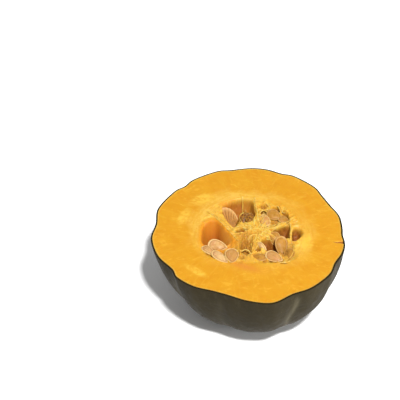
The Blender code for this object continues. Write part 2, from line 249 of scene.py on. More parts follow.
# Folds and fibres that lie over the seeds and septa: radius, then places in the plan
DRAPED = (
    (0.5, ((11.4, 9.4), (16.0, 7.8), (21.6, 8.4), (26.8, 12.4), (32.6, 14.2), (37.0, 17.6))),
    (0.4, ((-35.6, 21.5), (-28.5, 15.6), (-21.4, 7.4), (-14.2, -3.1), (-8.0, -12.3))),
    (0.32, ((-30.0, 19.6), (-21.0, 11.0), (-13.6, 2.0), (-7.0, -3.0))),
    (0.5, ((4.6, 42.0), (5.4, 34.0), (6.8, 24.0), (8.0, 12.0))),
    (0.32, ((36.2, -8.6), (38.0, -16.0), (36.4, -24.6), (30.2, -31.4))),
    (0.4, ((16.4, 10.4), (22.6, 13.0), (29.6, 13.2), (35.4, 16.6))),
    (0.35, ((5.0, -24.4), (2.4, -26.6), (-1.0, -27.0), (-4.0, -25.6))),
    (0.4, ((9.4, 24.2), (14.4, 27.6), (19.4, 28.4), (25.6, 30.4), (30.4, 27.0))),
)
# A folded skin over the two seeds of the back left shelf: its upper edge and its foot
FAN_EDGE = ((-25.0, 26.0, -2.2), (-22.6, 28.6, -1.4), (-18.8, 28.6, -1.0), (-15.0, 26.2, -1.0),
            (-12.0, 23.0, -1.4), (-10.2, 19.6, -2.0), (-9.0, 17.0, -2.8))
FAN_FOOT = ((-17.8, 9.6, -2.4), (-16.6, 8.4, -2.2), (-15.6, 7.4, -2.1), (-14.6, 6.6, -2.1),
            (-13.6, 6.2, -2.1), (-12.6, 6.2, -2.2), (-11.4, 6.6, -2.6))
FAN_FOLDS = 7.5
FAN_ROWS = 48
FAN_COLUMNS = 90
FAN_THICKNESS = 0.9
FAN_FOLD_HEIGHT = 0.34
FAN_SAG = 0.9
# An arc low in the back pocket, made browner with painted shade: radius, then points with their lift
BACK_ARC = (0.34, ((-4.9, 34.2, -8.4), (-2.6, 31.6, -8.2), (0.4, 30.6, -8.0), (2.8, 31.8, -8.0),
                   (4.4, 34.6, -8.0)))

# The edge of the seed cavity: direction and radius about its middle
CAVITY_MIDDLE = (3.0, 0.5)
CAVITY_EDGE = ((0, 43), (25, 42), (50, 42), (75, 41), (100, 41), (125, 43), (150, 43), (180, 43), (205, 44),
               (230, 44), (255, 40), (280, 38), (305, 42), (335, 43))
# Where the fibres of the seed cavity come together, and how far out their pattern is true to size
CORE = (8.2, 0.2)
CORE_REACH = 18
# Relief of the seed cavity: its strings, how much lower they are in front, how far the pulp lies under the
# cut, and lumps and grain on the pulp, the shelves and the walls
STRING_HEIGHT, STRING_LOSS_IN_FRONT = 1.1, 0.5
PULP_SINK = 0.7
PULP_LUMPS, SHELF_LUMPS, WALL_LUMPS = 0.35, 0.9, 0.25
PULP_GRAIN, SHELF_GRAIN = 0.12, 0.25
JELLY_HEIGHT, JELLY_WAVES = 1.6, 0.55
# Relief of the cut flesh outside of the cavity
CUT_GRAIN, CUT_SWELL = 0.03, 0.12
# How strongly the pale ring outside of the cavity shows in each direction
PALE_RING = (
    (0, 0.6), (30, 0.35), (60, 0.55), (90, 1.0), (110, 0.95), (135, 0.85), (165, 0.8), (200, 0.5), (235, 0.2),
    (270, 0.1), (315, 0.4), (340, 0.85),
)
# Noise: points along a side of its lattice, its octaves, and how much weaker each is than the one before
LATTICE = 32
OCTAVES = 3
OCTAVE_LOSS = 0.55
# Fine fibres: points along one, how deep a pocket it may cross, where the front starts and the share that is
# left out there, how far left they reach behind and in front, and how much glassy pulp they may cross
FIBRE_STEPS = 11
FIBRE_DEEPEST = 5.0
FIBRE_FRONT, FIBRE_FRONT_LOSS = -9, 0.6
FIBRE_LEFT, FIBRE_LEFT_IN_FRONT = -14, -5
FIBRE_ON_JELLY = 0.35
# Fibres in a strand
STRAND_FIBRES = 3
# Lowest and highest lift of a draped fibre
DRAPED_LOWEST, DRAPED_HIGHEST = -9, 4.5
# Points around a fibre
FIBRE_SIDES = 8
# How far the flesh reaches into the rind, and the rings of its underside
FLESH_OVERLAP = 0.06
FLESH_STEPS = (0.08, 0.25, 0.45, 0.65, 0.82, 0.95)

CAMERA_PLACE = (0.0009463, -0.6720936, 0.7191697)
CAMERA_AIM = (-0.04542065, 0.74064308, -0.67036169)
SENSOR_WIDTH = 36
LIGHTS_AIM = (0, 0, 0.05)
# Lights: place and size in metres, and share of the key light's power
LIGHTS = {"key": ((0.46, -1.4, 2.62), 0.22, 1.0), "side": ((1.45, -0.15, 0.2), 0.5, 0.14)}
FLOOR_HALF = 3.0
# How much stronger the stage's light is than a floor of pure white needs
EXPOSURE = 1.55


def paint(red, green, blue):
    """The linear base colour that shows as a display colour, 0 to 255, in the stage's light."""
    linear = []
    for value in (red, green, blue):
        share = value / 255
        linear.append((share / 12.92 if share <= 0.04045 else ((share + 0.055) / 1.055) ** 2.4) / EXPOSURE)
    return (*linear, 1.0)


def colour_setting(name, description, default):
    return FloatVectorProperty(
        name=name, description=description, default=default, size=4, min=0, max=1, subtype="COLOR"
    )


class RindSettings(bpy.types.PropertyGroup):
    thickness: FloatProperty(
        name="Thickness", description="How thick the dark rind is, in millimetres",
        default=1.5, min=0.3, max=3,
    )
    groove_depth: FloatProperty(
        name="Groove depth", description="How deep the grooves are at the foot, in millimetres",
        default=GROOVE_DEPTH, min=0,
    )
    around: IntProperty(
        name="Points around", description="Points of the mesh round the rind", default=560, min=60
    )
    levels: IntProperty(
        name="Levels", description="Rings of the mesh from the cut to the foot", default=130, min=10
    )
    colour: colour_setting("Colour", "Dark green of the rind", paint(60, 52, 32))
    light_colour: colour_setting("Light mottle", "Paler marks on the rind", paint(86, 80, 62))
    # Pale streaks in the grooves, and the painted highlight down one of them
    streak_and_highlight_colour: colour_setting("Groove streak", "Pale streak in some grooves", paint(116, 108, 86))
    cork_colour: colour_setting("Blossom scar", "Cork of the blossom scar", paint(150, 126, 92))


class FleshSettings(bpy.types.PropertyGroup):
    cells: IntProperty(
        name="Mesh cells", description="Cells across the cut face", default=300, min=40, max=310
    )
    colour: colour_setting("Flesh", "Cut flesh", paint(235, 167, 34))
    deep_colour: colour_setting("Deep flesh", "Deeper patches of the cut flesh", paint(228, 153, 24))
    light_colour: colour_setting("Light fibres", "Fine pale streaks in the flesh", paint(250, 196, 66))
    pale_colour: colour_setting("Pale ring", "Ring round the seed cavity", paint(254, 210, 96))
    # The pocket walls: darker with depth, painted shade
    wall_shade_colour: colour_setting("Pocket walls", "Walls of the pockets", paint(210, 138, 54))
    # The smooth wall's bowl: painted shade
    bowl_shade_colour: colour_setting("Smooth wall", "The smooth wall of the open pocket", paint(194, 108, 40))
    # The pocket floors: darker still, painted shade
    hole_shade_colour: colour_setting("Pocket floors", "Deep parts of the pockets", paint(132, 74, 30))
    pulp_colour: colour_setting("Pulp", "Wet pulp round the seeds", paint(200, 138, 44))
    # The pale line beside the rind is a painted highlight
    rim_colour: colour_setting("Beside the rind", "Pale line just inside the rind", paint(250, 204, 98))


class FibreSettings(bpy.types.PropertyGroup):
    count: IntProperty(
        name="Fine fibres", description="Number of fine fibres in the cavity", default=95, min=0
    )
    colour: colour_setting("Fibres", "Fibres of the seed cavity", paint(248, 184, 70))
    light_colour: colour_setting("Light fibres", "Palest parts of the fibres", paint(253, 216, 118))


class SeedSettings(bpy.types.PropertyGroup):
    pale_colour: colour_setting("Pale coat", "Coat of the driest seeds", paint(242, 198, 134))
    colour: colour_setting("Seed coat", "Plain seed coat", paint(216, 160, 92))
    olive_colour: colour_setting("Olive coat", "Coat seen through its wet film", paint(194, 138, 50))
    rim_colour: colour_setting("Seed rim", "Pale rim of the seeds", paint(246, 206, 134))


class StageSettings(bpy.types.PropertyGroup):
    floor_colour: colour_setting("Floor", "Floor", (0.97, 0.97, 0.97, 1.0))
    key_strength: FloatProperty(
        name="Key light", description="Power of the key light", default=126, min=0, unit="POWER"
    )
    fill_strength: FloatProperty(name="Sky", description="Strength of the even light", default=0.38, min=0)
    lens: FloatProperty(
        name="Lens", description="Focal length in millimetres", default=100, min=20, unit="CAMERA"
    )


# Shapes


def ridge_of(turns, spread):
    return np.exp(-((turns / spread) ** 2))


def turn_from(direction, other):
    """Signed angle between directions, in degrees."""
    return (direction - other + 180) % 360 - 180


def round_table(direction, table):
    """Value at a direction from a table of directions and values, round the circle."""
    known = np.array(table, float)
    return np.interp(direction % 360, known[:, 0], known[:, 1], period=360)


def smooth_through(points, spans, closed):
    """Points on a smooth curve through the given ones, with that many steps between neighbours."""
    points = np.array(points, float)
    count = len(points)
    made = []
    for i in range(count if closed else count - 1):
        picks = [(i + k) % count if closed else min(max(i + k, 0), count - 1) for k in (-1, 0, 1, 2)]
        a, b, c, d = points[picks]
        for t in np.arange(spans) / spans:
            bend, twist = 2 * a - 5 * b + 4 * c - d, 3 * b - a - 3 * c + d
            made.append(0.5 * (2 * b + (c - a) * t + bend * t * t + twist * t**3))
    if not closed:
        made.append(points[-1])
    return np.array(made)


@lru_cache(maxsize=None)
def lattice_of(seed):
    return np.random.default_rng(seed).uniform(-1, 1, (LATTICE,) * 3)


def noise(places, size, seed):
    """Smooth seeded noise from -1 to 1 at those places, with features of about that size."""
    lattice = lattice_of(seed)
    scaled = np.asarray(places, float) / size
    cell = np.floor(scaled).astype(int)
    inside = scaled - cell
    ease = inside * inside * (3 - 2 * inside)
    total = np.zeros(len(scaled))
    for corner in range(8):
        step = np.array([corner & 1, corner >> 1 & 1, corner >> 2 & 1])
        at = (cell + step) % LATTICE
        weight = np.prod(np.where(step, ease, 1 - ease), axis=1)
        total += weight * lattice[at[:, 0], at[:, 1], at[:, 2]]
    return total


def rough_noise(places, size, seed):
    return sum(noise(places, size / 2**k, seed + k) * OCTAVE_LOSS**k for k in range(OCTAVES))


def eased(value, low, high):
    """0 below low, 1 above high and a smooth rise in between."""
    t = np.clip((value - low) / (high - low), 0, 1)
    return t * t * (3 - 2 * t)


@lru_cache(maxsize=None)
def outline_curve():
    """Directions and radii of the cut outline, rind included, on a smooth curve through its points."""
    angles = np.radians([d for d, _ in CUT_OUTLINE])
    radii = np.array([r for _, r in CUT_OUTLINE])
    curve = smooth_through(np.c_[radii * np.cos(angles), radii * np.sin(angles)], 6, closed=True)
    known = np.degrees(np.arctan2(curve[:, 1], curve[:, 0])) % 360
    order = np.argsort(known)
    return known[order], np.hypot(*curve.T)[order]


def outline_radius(direction):
    return np.interp(direction % 360, *outline_curve(), period=360)


def skin_about_axis(direction, step, groove_depth, inwards=0.0):
    """A point of the rind about its axis: step is 0 at the cut and 1 at the foot, inwards how deep it lies."""
    reach = FACE_HEIGHT + WAIST_ABOVE_CUT + FOOT_FLATTENING
    top = math.asin((WAIST_ABOVE_CUT / reach) ** (PROFILE_POWER / 2))
    foot = math.asin(((WAIST_ABOVE_CUT + FACE_HEIGHT) / reach) ** (PROFILE_POWER / 2))
    turn = top + (foot - top) * step
    share = (np.cos(turn) / math.cos(top)) ** (2 / PROFILE_POWER)
    height = FACE_HEIGHT + WAIST_ABOVE_CUT - reach * np.sin(turn) ** (2 / PROFILE_POWER)
    below = 1 - height / FACE_HEIGHT
    groove = groove_depth * sum(ridge_of(turn_from(direction, g), GROOVE_SPREAD) for g in GROOVES)
    uneven = outline_radius(direction) - MEAN_RADIUS
    radius = (MEAN_RADIUS + uneven * (1 - OUTLINE_FADE * below) - groove * below) * share
    slope = step**1.5
    radius = radius - inwards * (1 - slope)
    height = height + inwards * slope * (step > 0)
    angle = np.radians(direction)
    x = BLOSSOM_LEAN[0] * below + radius * np.cos(angle)
    y = BLOSSOM_LEAN[1] * below + radius * np.sin(angle)
    return np.stack([x, y, height + np.zeros_like(x)], axis=-1)


def axis_at_cut():
    """Where the middle of the cut outline lies, once the half is centred on the frame's origin."""
    direction, step = np.meshgrid(np.arange(0, 360, 2.0), np.linspace(0, 1, 25))
    places = skin_about_axis(direction.ravel(), step.ravel(), GROOVE_DEPTH)
    return tuple(-(places.min(0) + places.max(0))[:2] / 2)


AXIS_AT_CUT = axis_at_cut()


def skin_place(direction, step, groove_depth, inwards=0.0):
    """The same point in the frame."""
    return skin_about_axis(direction, step, groove_depth, inwards) + (*AXIS_AT_CUT, 0.0)


def outward(direction):
    """Steps of length 1 in the plan, in those directions."""
    angle = np.radians(direction)
    return np.stack([np.cos(angle), np.sin(angle)], axis=-1)


def about(x, y, middle):
    """Direction and distance of places in the plan from a middle."""
    across, away = x - middle[0], y - middle[1]
    return np.degrees(np.arctan2(away, across)), np.hypot(across, away)


@lru_cache(maxsize=None)
def pocket_curve(name):
    """Directions and distances of a pocket's outline about its deepest point."""
    _, _, deepest, outline = POCKETS[name]
    edge = smooth_through(outline, 6, closed=True)
    known, reach = about(edge[:, 0], edge[:, 1], deepest)
    order = np.argsort(known % 360)
    return (known % 360)[order], reach[order]


def pocket_share(x, y, name):
    """0 at a pocket's deepest point, 1 on its outline and more outside."""
    direction, distance = about(x, y, POCKETS[name][2])
    return distance / np.interp(direction % 360, *pocket_curve(name), period=360)


def beyond_cavity(x, y):
    """Distance outside of the seed cavity's edge, below zero inside it."""
    direction, distance = about(x, y, CAVITY_MIDDLE)
    return distance - round_table(direction, CAVITY_EDGE)


def plan_points(x, y, height=0.0):
    return np.stack([x, y, np.zeros_like(x) + height], axis=-1)


def core_flow(x, y, width, length):
    """Places stretched along the fibres, which run out from the core."""
    direction, distance = about(x, y, CORE)
    return np.c_[outward(direction) * CORE_REACH / width, distance / length]


def core_strings(x, y):
    """0 to 1 on the soft strings of pulp that run out from the core and knot in it."""
    _, distance = about(x, y, CORE)
    out = 1 - np.abs(noise(core_flow(x, y, 1.3, 8.0), 1.0, seed=31))
    knot = 1 - np.abs(noise(plan_points(x, y), 2.6, seed=33))
    share = eased(distance, 3.0, 9.0)
    return (out * share + knot * (1 - share)) ** 3


def cavity_depth(x, y):
    """Depth of the pockets and shelves below the cut, with soft lips between them."""
    places = plan_points(x, y)
    wander_x, wander_y = (POCKET_WANDER * rough_noise(places, 5, seed) for seed in (11, 21))
    depths = [np.zeros_like(x)]
    for name, (depth, flatness, _, _) in POCKETS.items():
        share = pocket_share(x + wander_x, y + wander_y, name)
        if name == SMOOTH_POCKET:
            share = SMOOTH_SHARE * pocket_share(x, y, name) + (1 - SMOOTH_SHARE) * share
            depth = depth * (1 - SMOOTH_RISE * eased(x, SMOOTH_RISE_FROM, SMOOTH_RISE_TO))
        bowl = 1 - share**flatness
        if name == SMOOTH_POCKET:
            bowl = np.where(bowl > 0, np.abs(bowl) ** SMOOTH_STEEPNESS, bowl)
        depths.append(np.maximum(depth * bowl, POCKET_LOWEST))
    return np.logaddexp.reduce(np.array(depths) / POCKET_LIP, axis=0) * POCKET_LIP


def in_oval(x, y, middle, half, direction):
    """1 in the middle of an oval, 0 outside of it."""
    angle = math.radians(direction)
    along = (x - middle[0]) * math.cos(angle) + (y - middle[1]) * math.sin(angle)
    across = (y - middle[1]) * math.cos(angle) - (x - middle[0]) * math.sin(angle)
    return 1 - eased(np.hypot(along / half[0], across / half[1]), 0.5, 1.1)


def in_jelly(x, y):
    """1 in the middle of the glassy pulp in front of the core, 0 well outside of it."""
    return ridge_of(np.hypot((x + 2.5) / 8, (y + 14) / 15), 1.0)


def nick_share(x, y):
    """1 in the middle of the nick in the rim, 0 beside it, and how far along the nick each place is."""
    direction, distance = about(x, y, AXIS_AT_CUT)
    along = outline_radius(direction) - distance
    across = np.radians(turn_from(direction, NICK_DIRECTION)) * distance
    half_width = NICK_WIDTH * np.clip(1 - along / NICK_LENGTH, 0, 1)
    crooked = across - 0.5 * np.sin(along / 1.7)
    split = np.clip(1 - np.abs(crooked) / np.maximum(half_width, 0.02), 0, 1) * (along < NICK_LENGTH)
    return split, along


def seed_turn(seed):
    """The matrix that puts a seed in its place."""
    turned = Matrix.Translation((seed.x, seed.y, FACE_HEIGHT + seed.lift))
    for angle, axis in ((seed.heading, "Z"), (seed.dip, "Y"), (seed.roll, "X")):
        turned = turned @ Matrix.Rotation(math.radians(angle), 4, axis)
    return np.array(turned)


def seed_beds(x, y, lift):
    """The flesh pressed down under each seed, so that the seed lies in it and isn't buried."""
    for seed in SEEDS:
        if seed.tone > EMBEDDED_TONE:
            continue
        turned = seed_turn(seed)
        normal = turned[:3, 2]
        away = np.hypot(x - seed.x, y - seed.y)
        near = np.flatnonzero(away < BED_REACH * seed.length)
        from_middle = plan_points(x[near] - seed.x, y[near] - seed.y)
        from_middle[:, 2] = -(from_middle[:, :2] @ normal[:2]) / max(normal[2], 0.25)
        local = from_middle @ turned[:3, :3]
        half_length, half_width = seed.length / 2, seed.width / 2
        taper = 1 - SEED_TAPER * np.clip(local[:, 0] / half_length, -1, 1)
        share = np.hypot(local[:, 0] / half_length, local[:, 1] / (half_width * taper))
        side = BED_STEEPNESS * np.clip(share - BED_EDGE, 0, None) * SEED_THICKNESS
        bed = seed.lift + from_middle[:, 2] - BED_GAP + side
        lift[near] = np.minimum(lift[near], np.maximum(bed, -BED_DEEPEST))
        uneven = noise(plan_points(x[near], y[near]), 2.0, seed=83)
        lip = BED_LIP * ridge_of(share - BED_LIP_AT, BED_LIP_SPREAD) * (1 + uneven)
        lift[near] += lip * (lift[near] > -BED_LIP_DEEPEST)
    return lift


def face_height(x, y):
    """Lift of the flesh over the cut plane: pockets, pulp and fibres included."""
    below = cavity_depth(x, y)
    for depth, _, *oval in HOLLOWS:
        below = np.maximum(below, depth * in_oval(x, y, *oval))
    places = plan_points(x, y, 3.0)
    inside = eased(-beyond_cavity(x, y), -1.5, 3.0)
    lumps = rough_noise(places, 3.2, seed=41)
    fine = noise(places, 0.9, seed=51)
    shelf = eased(below, 1.5, 4.0) * (1 - eased(below, 5.5, 9.0))
    wall = eased(below, 5.0, 9.0)
    rough = 1 - 0.85 * (1 - eased(pocket_share(x, y, SMOOTH_POCKET), 0.93, 1.02)) * eased(y, -16.0, -11.0)
    front = eased(-y, 3.0, 12.0) * (1 - eased(np.abs(x), 9.0, 14.0))
    lift = -below
    strings = (STRING_HEIGHT - STRING_LOSS_IN_FRONT * front) * core_strings(x, y)
    lift += inside * (strings - PULP_SINK + PULP_LUMPS * lumps) * (1 - 0.7 * wall) * rough
    lift += in_jelly(x, y) * (JELLY_HEIGHT + JELLY_WAVES * np.sin(1.9 * x + 1.5 * lumps))
    lift += shelf * (SHELF_LUMPS * lumps + SHELF_GRAIN * fine) * rough
    lift += wall * WALL_LUMPS * lumps * rough
    lift += inside * PULP_GRAIN * fine * rough
    lift = seed_beds(x, y, lift)
    lift += (1 - inside) * (CUT_GRAIN * noise(places, 2.5, seed=61) + CUT_SWELL * noise(places, 22, seed=71))
    split, along = nick_share(x, y)
    lift -= NICK_DEPTH * split * np.clip(1 - along / NICK_LENGTH, 0, 1)
    return lift


def add_piece(name, points, faces, material, marks):
    """A mesh on the squash's body from points in millimetres, with one value a point for each mark."""
    mesh = bpy.data.meshes.new(name)
    mesh.from_pydata((np.asarray(points) * MM).tolist(), [], faces)
    for label, values in marks.items():
        values = np.asarray(values, np.float32)
        if values.ndim == 1:
            mesh.attributes.new(label, "FLOAT", "POINT").data.foreach_set("value", values)
        else:
            mesh.attributes.new(label, "FLOAT_VECTOR", "POINT").data.foreach_set("vector", values.ravel())
    mesh.shade_smooth()
    mesh.materials.append(material)
    made = bpy.data.objects.new(name, mesh)
    bpy.context.scene.collection.objects.link(made)
    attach(made, BODY)
    return made


def ring_faces(first, second):
    """Quads between two rings of points, from the indices of each."""
    return np.stack([first, np.roll(first, -1), np.roll(second, -1), second], axis=-1).tolist()


def grid_faces(rows, columns):
    """Quads of a grid of points, and the indices of its border in order round it."""
    grid = np.arange((rows + 1) * (columns + 1)).reshape(rows + 1, columns + 1)
    cells = np.stack([grid[:-1, :-1], grid[1:, :-1], grid[1:, 1:], grid[:-1, 1:]], axis=-1)
    border = np.concatenate([grid[:-1, 0], grid[-1, :-1], grid[:0:-1, -1], grid[0, :0:-1]])
    return cells.reshape(-1, 4), border


def disc_cells(cells):
    """Directions and shares of the radius of a square grid pressed into a disc, finer in its middle."""
    line = np.linspace(-1, 1, cells + 1)
    a, b = (g.ravel() for g in np.meshgrid(line, line, indexing="ij"))
    share = np.maximum(np.abs(a), np.abs(b))
    wide = np.abs(a) >= np.abs(b)
    safe_a, safe_b = np.where(a == 0, 1, a), np.where(b == 0, 1, b)
    angle = np.where(wide, 45 * b / safe_a + 180 * (a < 0), 90 - 45 * a / safe_b + 180 * (b < 0))
    return angle, 0.7 * share + 0.3 * share**3


# Finishes


class Finish:
    """One material while it is made: its nodes, with short calls for the kinds that it needs."""

    def __init__(self, name):
        self.material = bpy.data.materials.new(name)
        self.material.use_nodes = True
        self.tree = self.material.node_tree
        self.shader = self.tree.nodes["Principled BSDF"]
        place = self.tree.nodes.new("ShaderNodeTexCoord")
        self.place = self.vector("SCALE", place.outputs["Object"], scale=1 / MM)

    def plug(self, socket, value):
        if isinstance(value, bpy.types.NodeSocket):
            self.tree.links.new(value, socket)
        else:
            socket.default_value = value

    def add(self, kind, inputs, **settings):
        made = self.tree.nodes.new(kind)
        for key, value in settings.items():
            setattr(made, key, value)
        for key, value in inputs.items():
            self.plug(made.inputs[key], value)
        return made

    def vector(self, operation, first, second=None, scale=None):
        inputs = {0: first}
        if second is not None:
            inputs[1] = second
        if scale is not None:
            inputs["Scale"] = scale
        made = self.add("ShaderNodeVectorMath", inputs, operation=operation)
        return made.outputs["Value" if operation == "LENGTH" else "Vector"]

    def times(self, first, second):
        return self.add("ShaderNodeMath", {0: first, 1: second}, operation="MULTIPLY").outputs[0]

    def plus(self, first, second):
        return self.add("ShaderNodeMath", {0: first, 1: second}, operation="ADD").outputs[0]

    def mark(self, name, output="Fac"):
        return self.add("ShaderNodeAttribute", {}, attribute_name=name).outputs[output]

    def noise(self, place, size, detail=3.0, roughness=0.55, distortion=0.0):
        """Noise with features of about that size in millimetres."""
        shape = {"Detail": detail, "Roughness": roughness, "Distortion": distortion}
        return self.add("ShaderNodeTexNoise", {"Vector": place, "Scale": 1 / size, **shape}).outputs["Fac"]

    def cells(self, place, size):
        """Distance from the nearest of scattered points that lie about that far apart in millimetres."""
        return self.add("ShaderNodeTexVoronoi", {"Vector": place, "Scale": 1 / size}).outputs["Distance"]

    def fit(self, value, low, high, to_low=0.0, to_high=1.0):
        """A smooth step from to_low, where the value is low, to to_high, where it is high."""
        inputs = {"Value": value, "From Min": low, "From Max": high, "To Min": to_low, "To Max": to_high}
        return self.add("ShaderNodeMapRange", inputs, interpolation_type="SMOOTHSTEP").outputs["Result"]

    def mix(self, share, first, second):
        made = self.add("ShaderNodeMix", {"Factor": share}, data_type="RGBA")
        self.plug(made.inputs["A"], first)
        self.plug(made.inputs["B"], second)
        return made.outputs["Result"]

    def layered(self, colour, *layers):
        """A colour under layers, the last on top, each with how strongly it shows and its own colour."""
        for share, tint in layers:
            colour = self.mix(share, colour, tint)
        return colour

    def bump(self, strength, distance, *parts):
        """The normal on a surface whose height is the sum of the parts, each with its share."""
        height = None
        for part, share in parts:
            scaled = part if share == 1 else self.times(part, share)
            height = scaled if height is None else self.plus(height, scaled)
        inputs = {"Height": height, "Strength": strength, "Distance": distance * MM}
        return self.add("ShaderNodeBump", inputs).outputs["Normal"]

    def set(self, **inputs):
        for key, value in inputs.items():
            self.plug(self.shader.inputs[key.replace("_", " ")], value)


def rind_finish(look):
    """Dark waxy rind: broad mottling, small pale marks, pale streaks in grooves with a painted highlight down
    one, a corky blossom scar.
    """
    finish = Finish("rind")
    place = finish.place
    tall = finish.vector("MULTIPLY", place, (1.0, 1.0, 0.35))
    broad = finish.noise(tall, 16, detail=4, roughness=0.6)
    medium = finish.noise(tall, 4.5, detail=5, roughness=0.6, distortion=0.6)
    fine = finish.noise(place, 0.7)
    dots = finish.times(finish.fit(finish.cells(place, 3.2), 0.26, 0.1), finish.fit(medium, 0.42, 0.62))
    cork = finish.fit(finish.noise(place, 0.9, detail=4), 0.35, 0.65)
    colour = finish.layered(
        look.colour,
        (finish.fit(broad, 0.35, 0.7, 0, 0.5), paint(47, 42, 28)),
        (finish.fit(medium, 0.45, 0.75, 0, 0.35), look.light_colour),
        (finish.times(dots, 0.35), look.light_colour),
        # Pale streaks in the grooves, and the painted highlight down one of them
        (finish.times(finish.mark("streak"), finish.fit(medium, 0.25, 0.6, 0.35, 1.0)), look.streak_and_highlight_colour),
        (finish.mark("cork"), finish.mix(cork, look.cork_colour, paint(96, 78, 54))),
        (finish.mark("cut"), paint(46, 40, 24)),
    )
    normal = finish.bump(0.5, 0.45, (medium, 0.7), (fine, 0.3), (dots, 0.25))
    finish.set(Base_Color=colour, Roughness=finish.fit(medium, 0.3, 0.75, 0.5, 0.68), Normal=normal)
    finish.set(Specular_IOR_Level=0.05)
    return finish.material


def flesh_finish(look):
    """Moist cut flesh: orange with fine pale fibres, a pale ring, darker pulp, and pocket walls darkened with
    painted shade.
    """
    finish = Finish("flesh")
    place = finish.place
    flat = finish.vector("MULTIPLY", place, (1.0, 1.0, 0.0))
    radius = finish.vector("LENGTH", flat)
    away = finish.vector("NORMALIZE", flat)

    def round_middle(turns, length):
        """Noise that changes by turns round the middle of the cut, and by length along each radius."""
        along = finish.add("ShaderNodeCombineXYZ", {"Z": finish.times(radius, 1 / length)}).outputs[0]
        turned = finish.vector("ADD", finish.vector("SCALE", away, scale=turns), along)
        return finish.noise(turned, 1.0, roughness=0.6)

    ray, arc = round_middle(26.0, 14), round_middle(5.0, 2.2)
    mottle = finish.noise(place, 11, detail=4, roughness=0.6)
    grain = finish.noise(place, 0.8, roughness=0.6)
    patch = finish.noise(place, 3.2, detail=4, roughness=0.65, distortion=0.8)
    wide = finish.vector("MULTIPLY", place, (1.0, 1.6, 1.0))
    stroke = finish.noise(wide, 9, detail=5, roughness=0.65, distortion=1.2)
    drips = finish.noise(finish.vector("MULTIPLY", place, (1.0, 0.16, 0.3)), 1.1)
    below, string, core, dark = (finish.mark(name) for name in ("below", "string", "core", "dark"))
    hole = finish.plus(below, finish.fit(patch, 0.3, 0.7, -2.0, 2.0))
    pale = finish.times(finish.mark("pale"), finish.fit(patch, 0.3, 0.62, 0.6, 1.0))
    # The smooth wall of the open pocket: painted shade deepens towards its bottom and deepest part, and
    # painted light brightens its right side, turned away from the key light
    smooth_wall = finish.layered(
        paint(238, 152, 46),
        (finish.mark("bowl"), look.bowl_shade_colour),
        (finish.fit(below, 14.0, 22.0), paint(190, 122, 50)),
        (finish.mark("lee"), paint(250, 178, 72)),
    )
    shade = finish.mix(finish.fit(patch, 0.3, 0.65), paint(184, 112, 42), paint(150, 84, 28))
    # A painted highlight along the flesh just inside the rind, but not in the nick
    rim_highlight = finish.fit(finish.mark("to_rind"), 1.6, 0.2, 0, 0.4)
    colour = finish.layered(
        look.colour,
        # Plain flesh and the pale ring
        (finish.fit(mottle, 0.35, 0.75, 0, 0.8), look.deep_colour),
        (finish.fit(ray, 0.5, 0.75, 0, 0.3), look.light_colour),
        (finish.fit(stroke, 0.52, 0.7, 0, 0.55), paint(252, 194, 62)),
        (finish.times(pale, finish.fit(arc, 0.36, 0.58, 0.5, 1.0)), look.pale_colour),
        (finish.times(finish.mark("yellow"), finish.fit(stroke, 0.36, 0.6, 0.2, 0.85)), paint(255, 204, 74)),
        # Pockets, pulp and the core; the pockets' walls and floors are darker with depth, painted shade
        (finish.fit(below, 4.0, 8.5), look.wall_shade_colour),
        (finish.fit(hole, 5.0, 11.0, 0, 0.95), look.hole_shade_colour),
        (finish.times(finish.mark("pulp"), finish.fit(patch, 0.3, 0.6, 0.6, 1.0)), look.pulp_colour),
        (finish.times(finish.mark("jelly"), finish.fit(drips, 0.42, 0.6)), paint(188, 126, 44)),
        # The core's strings: the fibres' own yellow, paler on their tops, painted highlight, and orange
        # between them, painted shade
        (finish.times(core, finish.fit(string, 0.4, 0.05, 0, 0.35)), paint(226, 156, 52)),
        (finish.times(core, finish.fit(string, 0.35, 0.8, 0, 0.9)), paint(255, 214, 98)),
        # Single places
        # Painted light: a glowing orange near the smooth pocket's outline and in the back pocket
        (finish.mark("glow"), paint(236, 154, 30)),
        (finish.mark("smooth"), smooth_wall),
        (finish.mark("warm"), paint(196, 120, 40)),
        (finish.mark("olive"), paint(204, 136, 46)),
        # Painted shade in the nick, the darkest pockets and the hollows
        (dark, shade),
        (finish.mark("bruise"), paint(232, 146, 56)),
        # Painted highlight beside the rind
        (finish.times(rim_highlight, finish.fit(dark, 0.5, 0.0)), look.rim_colour),
    )
    normal = finish.bump(0.35, 0.22, (finish.cells(place, 0.9), 0.5), (grain, 0.6), (ray, 0.5))
    finish.set(Base_Color=colour, Roughness=finish.fit(patch, 0.3, 0.7, 0.36, 0.52), Normal=normal)
    finish.set(Subsurface_Weight=0.35, Subsurface_Scale=0.003, Subsurface_Radius=(1.0, 0.45, 0.12))
    finish.set(Specular_IOR_Level=0.16, Coat_Weight=0.03, Coat_Roughness=0.3)
    return finish.material


def fibre_finish(look):
    """Wet yellow fibres, paler in places, and browner on the arc deep in the back pocket: painted shade."""
    finish = Finish("fibre")
    patch = finish.noise(finish.place, 3.0)
    fine = finish.noise(finish.place, 0.6)
    colour = finish.layered(
        look.colour,
        (finish.fit(patch, 0.35, 0.7), look.light_colour),
        (finish.fit(fine, 0.45, 0.75, 0, 0.3), paint(238, 166, 58)),
        # Browner on the arc deep in the back pocket: painted shade
        (finish.mark("brown"), paint(150, 96, 38)),
    )
    normal = finish.bump(0.3, 0.15, (fine, 1))
    finish.set(Base_Color=colour, Roughness=finish.fit(fine, 0.3, 0.7, 0.35, 0.5), Normal=normal)
    finish.set(Subsurface_Weight=0.3, Subsurface_Scale=0.002, Subsurface_Radius=(1.0, 0.6, 0.2))
    finish.set(Coat_Weight=0.03, Coat_Roughness=0.25, Specular_IOR_Level=0.12)
    return finish.material


